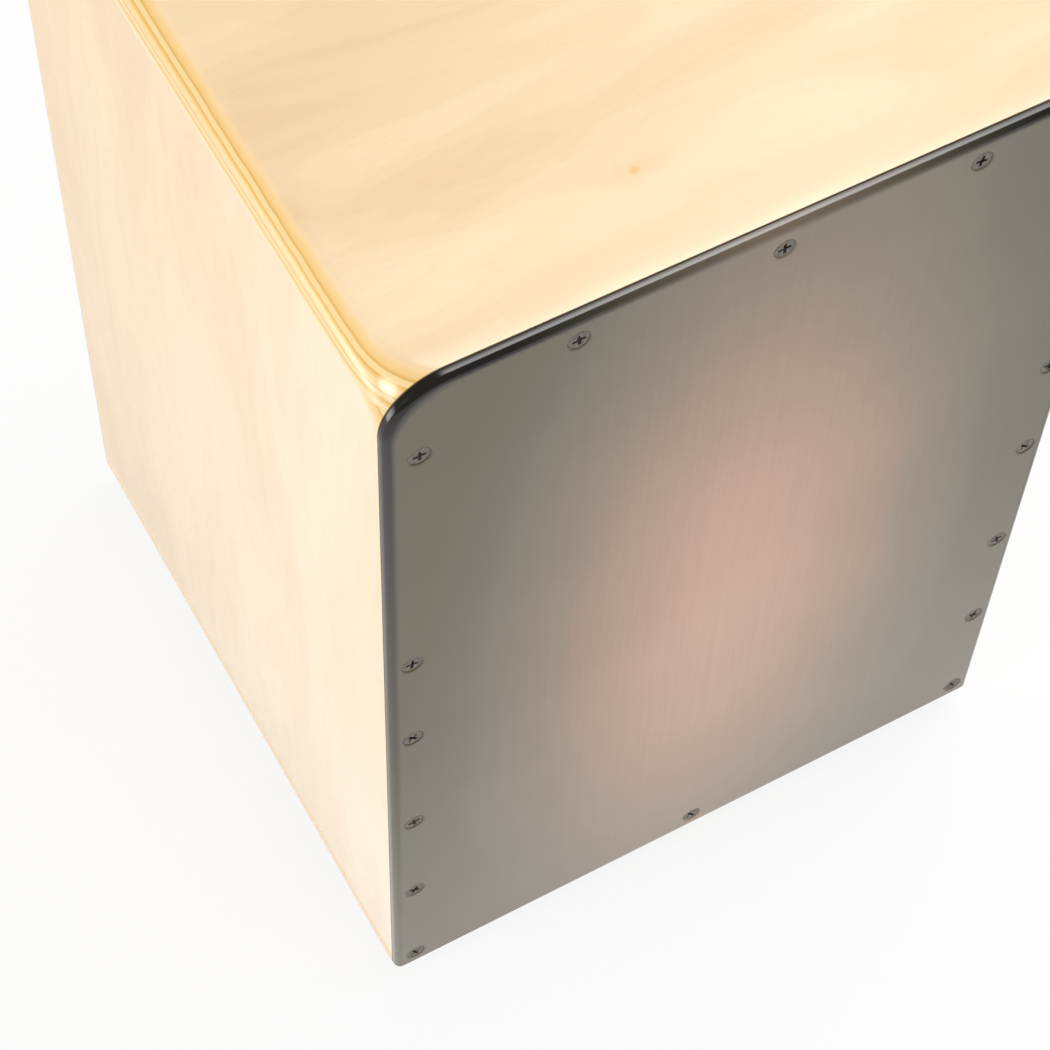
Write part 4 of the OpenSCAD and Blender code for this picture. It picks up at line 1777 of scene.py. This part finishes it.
@dataclass
class Feet:
    """Four moulded rubber feet, each with a washer and a screw sunk in it."""

    height: float = 12.0
    floor_radius: float = 16.0
    top_radius: float = 18.0
    bevel: float = 1.5
    bevel_points: int = 8
    wall_points: int = 24
    chamfer: Pair = (0.3, 0.6)
    groove: float = 0.5
    groove_share: float = 0.72
    groove_width: float = 0.7
    bore: float = 6.3
    bore_ease: float = 0.5
    web: float = 5.0
    screw_bore: float = 1.8
    foot_steps: int = 96
    washer_radius: float = 6.0
    washer_bore: float = 1.6
    washer: float = 1.2
    washer_ease: float = 0.2
    washer_steps: int = 64
    screw: float = 14.2
    screw_turn: float = 0.7

    def foot(self) -> Surface:
        """Makes one foot, as a profile carried round its axis.

        The profile has a rolled floor edge, a flared wall and a stepped bore. A groove, whose depth falls as
        a bell curve on both sides of its middle, sets off the moulded ring at the top of the wall.

        Returns:
            The foot on the origin.
        """
        seat = self.height - self.web
        bow = np.linspace(0, RIGHT_ANGLE, self.bevel_points)
        floor_edge = np.column_stack([
            self.floor_radius - self.bevel + self.bevel * np.sin(bow), self.bevel * (1 - np.cos(bow))])
        drawn, drop = self.chamfer
        rise = np.linspace(self.bevel, self.height - drop, self.wall_points)
        wall = self.floor_radius + (self.top_radius - self.floor_radius) * rise / self.height
        groove = self.groove * np.exp(-((rise - self.groove_share * self.height) / self.groove_width) ** 2)
        outer = np.column_stack([wall - groove, rise])[1:]
        profile = np.concatenate([
            [[self.bore + self.bore_ease, 0.0]], floor_edge, outer,
            [[self.top_radius - drawn, self.height], [self.screw_bore, self.height], [self.screw_bore, seat],
             [self.bore, seat], [self.bore, self.bore_ease]],
        ])
        return torus(revolved(profile, self.foot_steps))

    def washer_ring(self) -> Surface:
        """Makes one washer with eased edges.

        Returns:
            The washer, with its floor side at height 0.
        """
        r, b, t, e = self.washer_radius, self.washer_bore, self.washer, self.washer_ease
        profile = np.array([
            [b, e], [b + e, 0], [r - e, 0], [r, e], [r, t - e], [r - e, t], [b + e, t], [b, t - e]])
        return torus(revolved(profile, self.washer_steps))

    def build(self) -> None:
        """Adds the feet, the washers and the screws."""
        rubber = MouldedRubber("moulded_black_rubber").build()
        zinc = PlatedSteel("bright_zinc_plated_foot_steel", "#c9c8c4", "#96948f", 0.25, 0.42).build()
        washers, screws = [], []
        level = self.height - self.web - self.washer
        for k, (end, side) in enumerate((e, s) for e in ("front", "back") for s in ("left", "right")):
            node = f"foot_{end}_{side}"
            x, y, _ = node_middle(node)[1]
            add_piece(f"rubber_{node}", self.foot().placed(np.eye(3), (x, y, 0.0)), rubber, "box", [node])
            washers.append(self.washer_ring().placed(np.eye(3), (x, y, level)))
            a = self.screw_turn * k
            turn = facing((math.cos(a), math.sin(a), 0), (0, 0, 1))
            screws.append(pan_screw(self.screw).placed(turn, (x, y, level)))
        add_piece("zinc_foot_washers", Surface.joined(washers), zinc, "box", ["foot_washers"])
        add_piece("zinc_foot_screws", Surface.joined(screws), zinc, "box", ["foot_screws"])


# Studio


@dataclass(frozen=True)
class Softbox:
    """Rectangular lamp whose cloth is brightest in the middle. Places and sizes are in metres.

    Attributes:
        name: Name of the lamp.
        place: Where it stands.
        target: The point that it faces.
        size: Its width and height.
        watts: Its power.
        mirrored: Whether glossy surfaces mirror it.
    """

    name: str
    place: Triple
    target: Triple
    size: Pair
    watts: float
    mirrored: bool = True

    def build(self) -> None:
        """Adds the lamp. Its brightness is the product of two parabolas that are 0 at the cloth's edges."""
        data = bpy.data.lights.new(self.name, "AREA")
        data.shape = "RECTANGLE"
        data.size, data.size_y = self.size
        data.energy = self.watts
        add = partial(add_node, empty_tree(data))
        cloth = add("NewGeometry").outputs["Parametric"]
        left = add("VectorMath", {0: (1.0, 1.0, 1.0), 1: cloth}, operation="SUBTRACT")
        bow = add("VectorMath", {0: cloth, 1: left}, operation="MULTIPLY")
        parts = add("SeparateXYZ", {0: bow})
        level = add("Math", {0: parts.outputs["X"], 1: parts.outputs["Y"]}, operation="MULTIPLY")
        # A mean of one over the cloth keeps the lamp's power as written, and each parabola's mean is a sixth
        level = add("Math", {0: level, 1: 6.0 * 6.0}, operation="MULTIPLY")
        glow = add("Emission", {"Strength": level})
        add("OutputLight", {"Surface": glow})
        lamp = bpy.data.objects.new(self.name, data)
        lamp.visible_glossy = self.mirrored
        way = Vector(self.target) - Vector(self.place)
        lamp.matrix_world = Matrix.Translation(self.place) @ way.to_track_quat("-Z", "Y").to_matrix().to_4x4()
        bpy.context.scene.collection.objects.link(lamp)


@dataclass
class Studio:
    """Camera, floor and soft lights. Places and sizes are in metres.

    The lamps are a key softbox and a low fill on the left, two softboxes overhead, and weak fills in front
    and behind that no surface mirrors.
    """

    camera_place: Triple = (-0.38317, -0.62052, 1.25404)
    azimuth: float = -31.47
    elevation: float = 58.68
    roll: float = 2.86
    focal_pixels: float = 3038.0
    image_pixels: float = 1050.0
    sensor: float = 36.0
    clip: Pair = (0.01, 100.0)
    floor_half: float = 60.0
    floor_gap: float = 0.0002
    floor_glow: float = 0.86
    world_level: float = 0.22
    lamps: tuple[Softbox, ...] = (
        Softbox("key_left", (-1.4, -0.49, 1.04), (-0.1, -0.1, 0.4), (0.75, 0.75), 12.2),
        Softbox("low_left", (-2.0, 0.35, 0.35), (-0.15, 0.0, 0.0), (1.8, 1.0), 15.0),
        Softbox("overhead_front", (0.5, -0.11, 1.8), (0.3, -0.1, 0.46), (1.0, 1.2), 10.3),
        Softbox("overhead_wide", (0.9, 0.5, 1.9), (0.3, 0.2, 0.46), (1.5, 2.2), 15.5),
        Softbox("front_fill", (1.3, -1.9, 0.5), (0.0, -0.15, 0.15), (1.5, 0.9), 22.0, mirrored=False),
        Softbox("back_fill", (1.2, 4.5, 0.5), (0.0, 0.15, 0.25), (2.6, 0.9), 104.0, mirrored=False),
    )

    def camera(self) -> None:
        """Adds the camera, which looks against its azimuth and elevation and then rolls about its view."""
        a, e = math.radians(self.azimuth), math.radians(self.elevation)
        back = Vector((math.sin(a) * math.cos(e), -math.cos(a) * math.cos(e), math.sin(e)))
        right = Vector((0, 0, 1)).cross(back).normalized()
        up = back.cross(right)
        turn = Matrix((right, up, back)).transposed() @ Matrix.Rotation(math.radians(self.roll), 3, "Z")
        data = bpy.data.cameras.new("camera")
        data.sensor_width = self.sensor
        data.lens = self.focal_pixels / self.image_pixels * self.sensor
        data.clip_start, data.clip_end = self.clip
        camera = bpy.data.objects.new("camera", data)
        camera.matrix_world = Matrix.Translation(self.camera_place) @ turn.to_4x4()
        bpy.context.scene.collection.objects.link(camera)
        bpy.context.scene.camera = camera

    def floor(self) -> None:
        """Adds a floor that the camera and reflections see near white, with the object's shadow on it."""
        material = bpy.data.materials.new("matt_white_floor")
        add = partial(add_node, empty_tree(material))
        paint = add("BsdfDiffuse", {"Color": "#eeeeee"})
        glow = add("Emission", {"Color": "#ffffff", "Strength": 1.0})
        rays = add("LightPath").outputs
        seen = rays["Is Camera Ray"]
        for ray in ("Is Glossy Ray", "Is Transmission Ray"):
            seen = add("Math", {0: seen, 1: rays[ray]}, operation="MAXIMUM")
        share = add("Math", {0: seen, 1: self.floor_glow}, operation="MULTIPLY")
        mixed = add("MixShader", {0: share, 1: paint, 2: glow})
        add("OutputMaterial", {"Surface": mixed})
        # The floor lies a little under the feet, so that no two faces lie in one plane
        h, low = self.floor_half, -self.floor_gap
        mesh = bpy.data.meshes.new("floor")
        mesh.from_pydata([(-h, -h, low), (h, -h, low), (h, h, low), (-h, h, low)], [], [(0, 1, 2, 3)])
        mesh.materials.append(material)
        floor = bpy.data.objects.new("floor", mesh)
        bpy.context.scene.collection.objects.link(floor)

    def world(self) -> None:
        """Adds a pale world, and sets the view to show colours as they are."""
        world = bpy.data.worlds.new("pale_studio")
        world.use_nodes = True
        shade = world.node_tree.nodes["Background"]
        shade.inputs["Color"].default_value = linear("#ffffff")
        shade.inputs["Strength"].default_value = self.world_level
        bpy.context.scene.world = world
        bpy.context.scene.view_settings.view_transform = "Standard"

    def build(self) -> None:
        """Adds the camera, the floor, the lamps and the world."""
        self.camera()
        self.floor()
        for lamp in self.lamps:
            lamp.build()
        self.world()


def main() -> None:
    logging.basicConfig(level=logging.INFO, format="%(name)s %(message)s")
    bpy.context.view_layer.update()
    Studio().build()
    box = BirchBox()
    box.build()
    plate = FrontPlate(box)
    plate.build()
    PlateScrews(plate).build()
    InnerFrame().build()
    Snare().build()
    Feet().build()


if __name__ == "__main__":
    main()
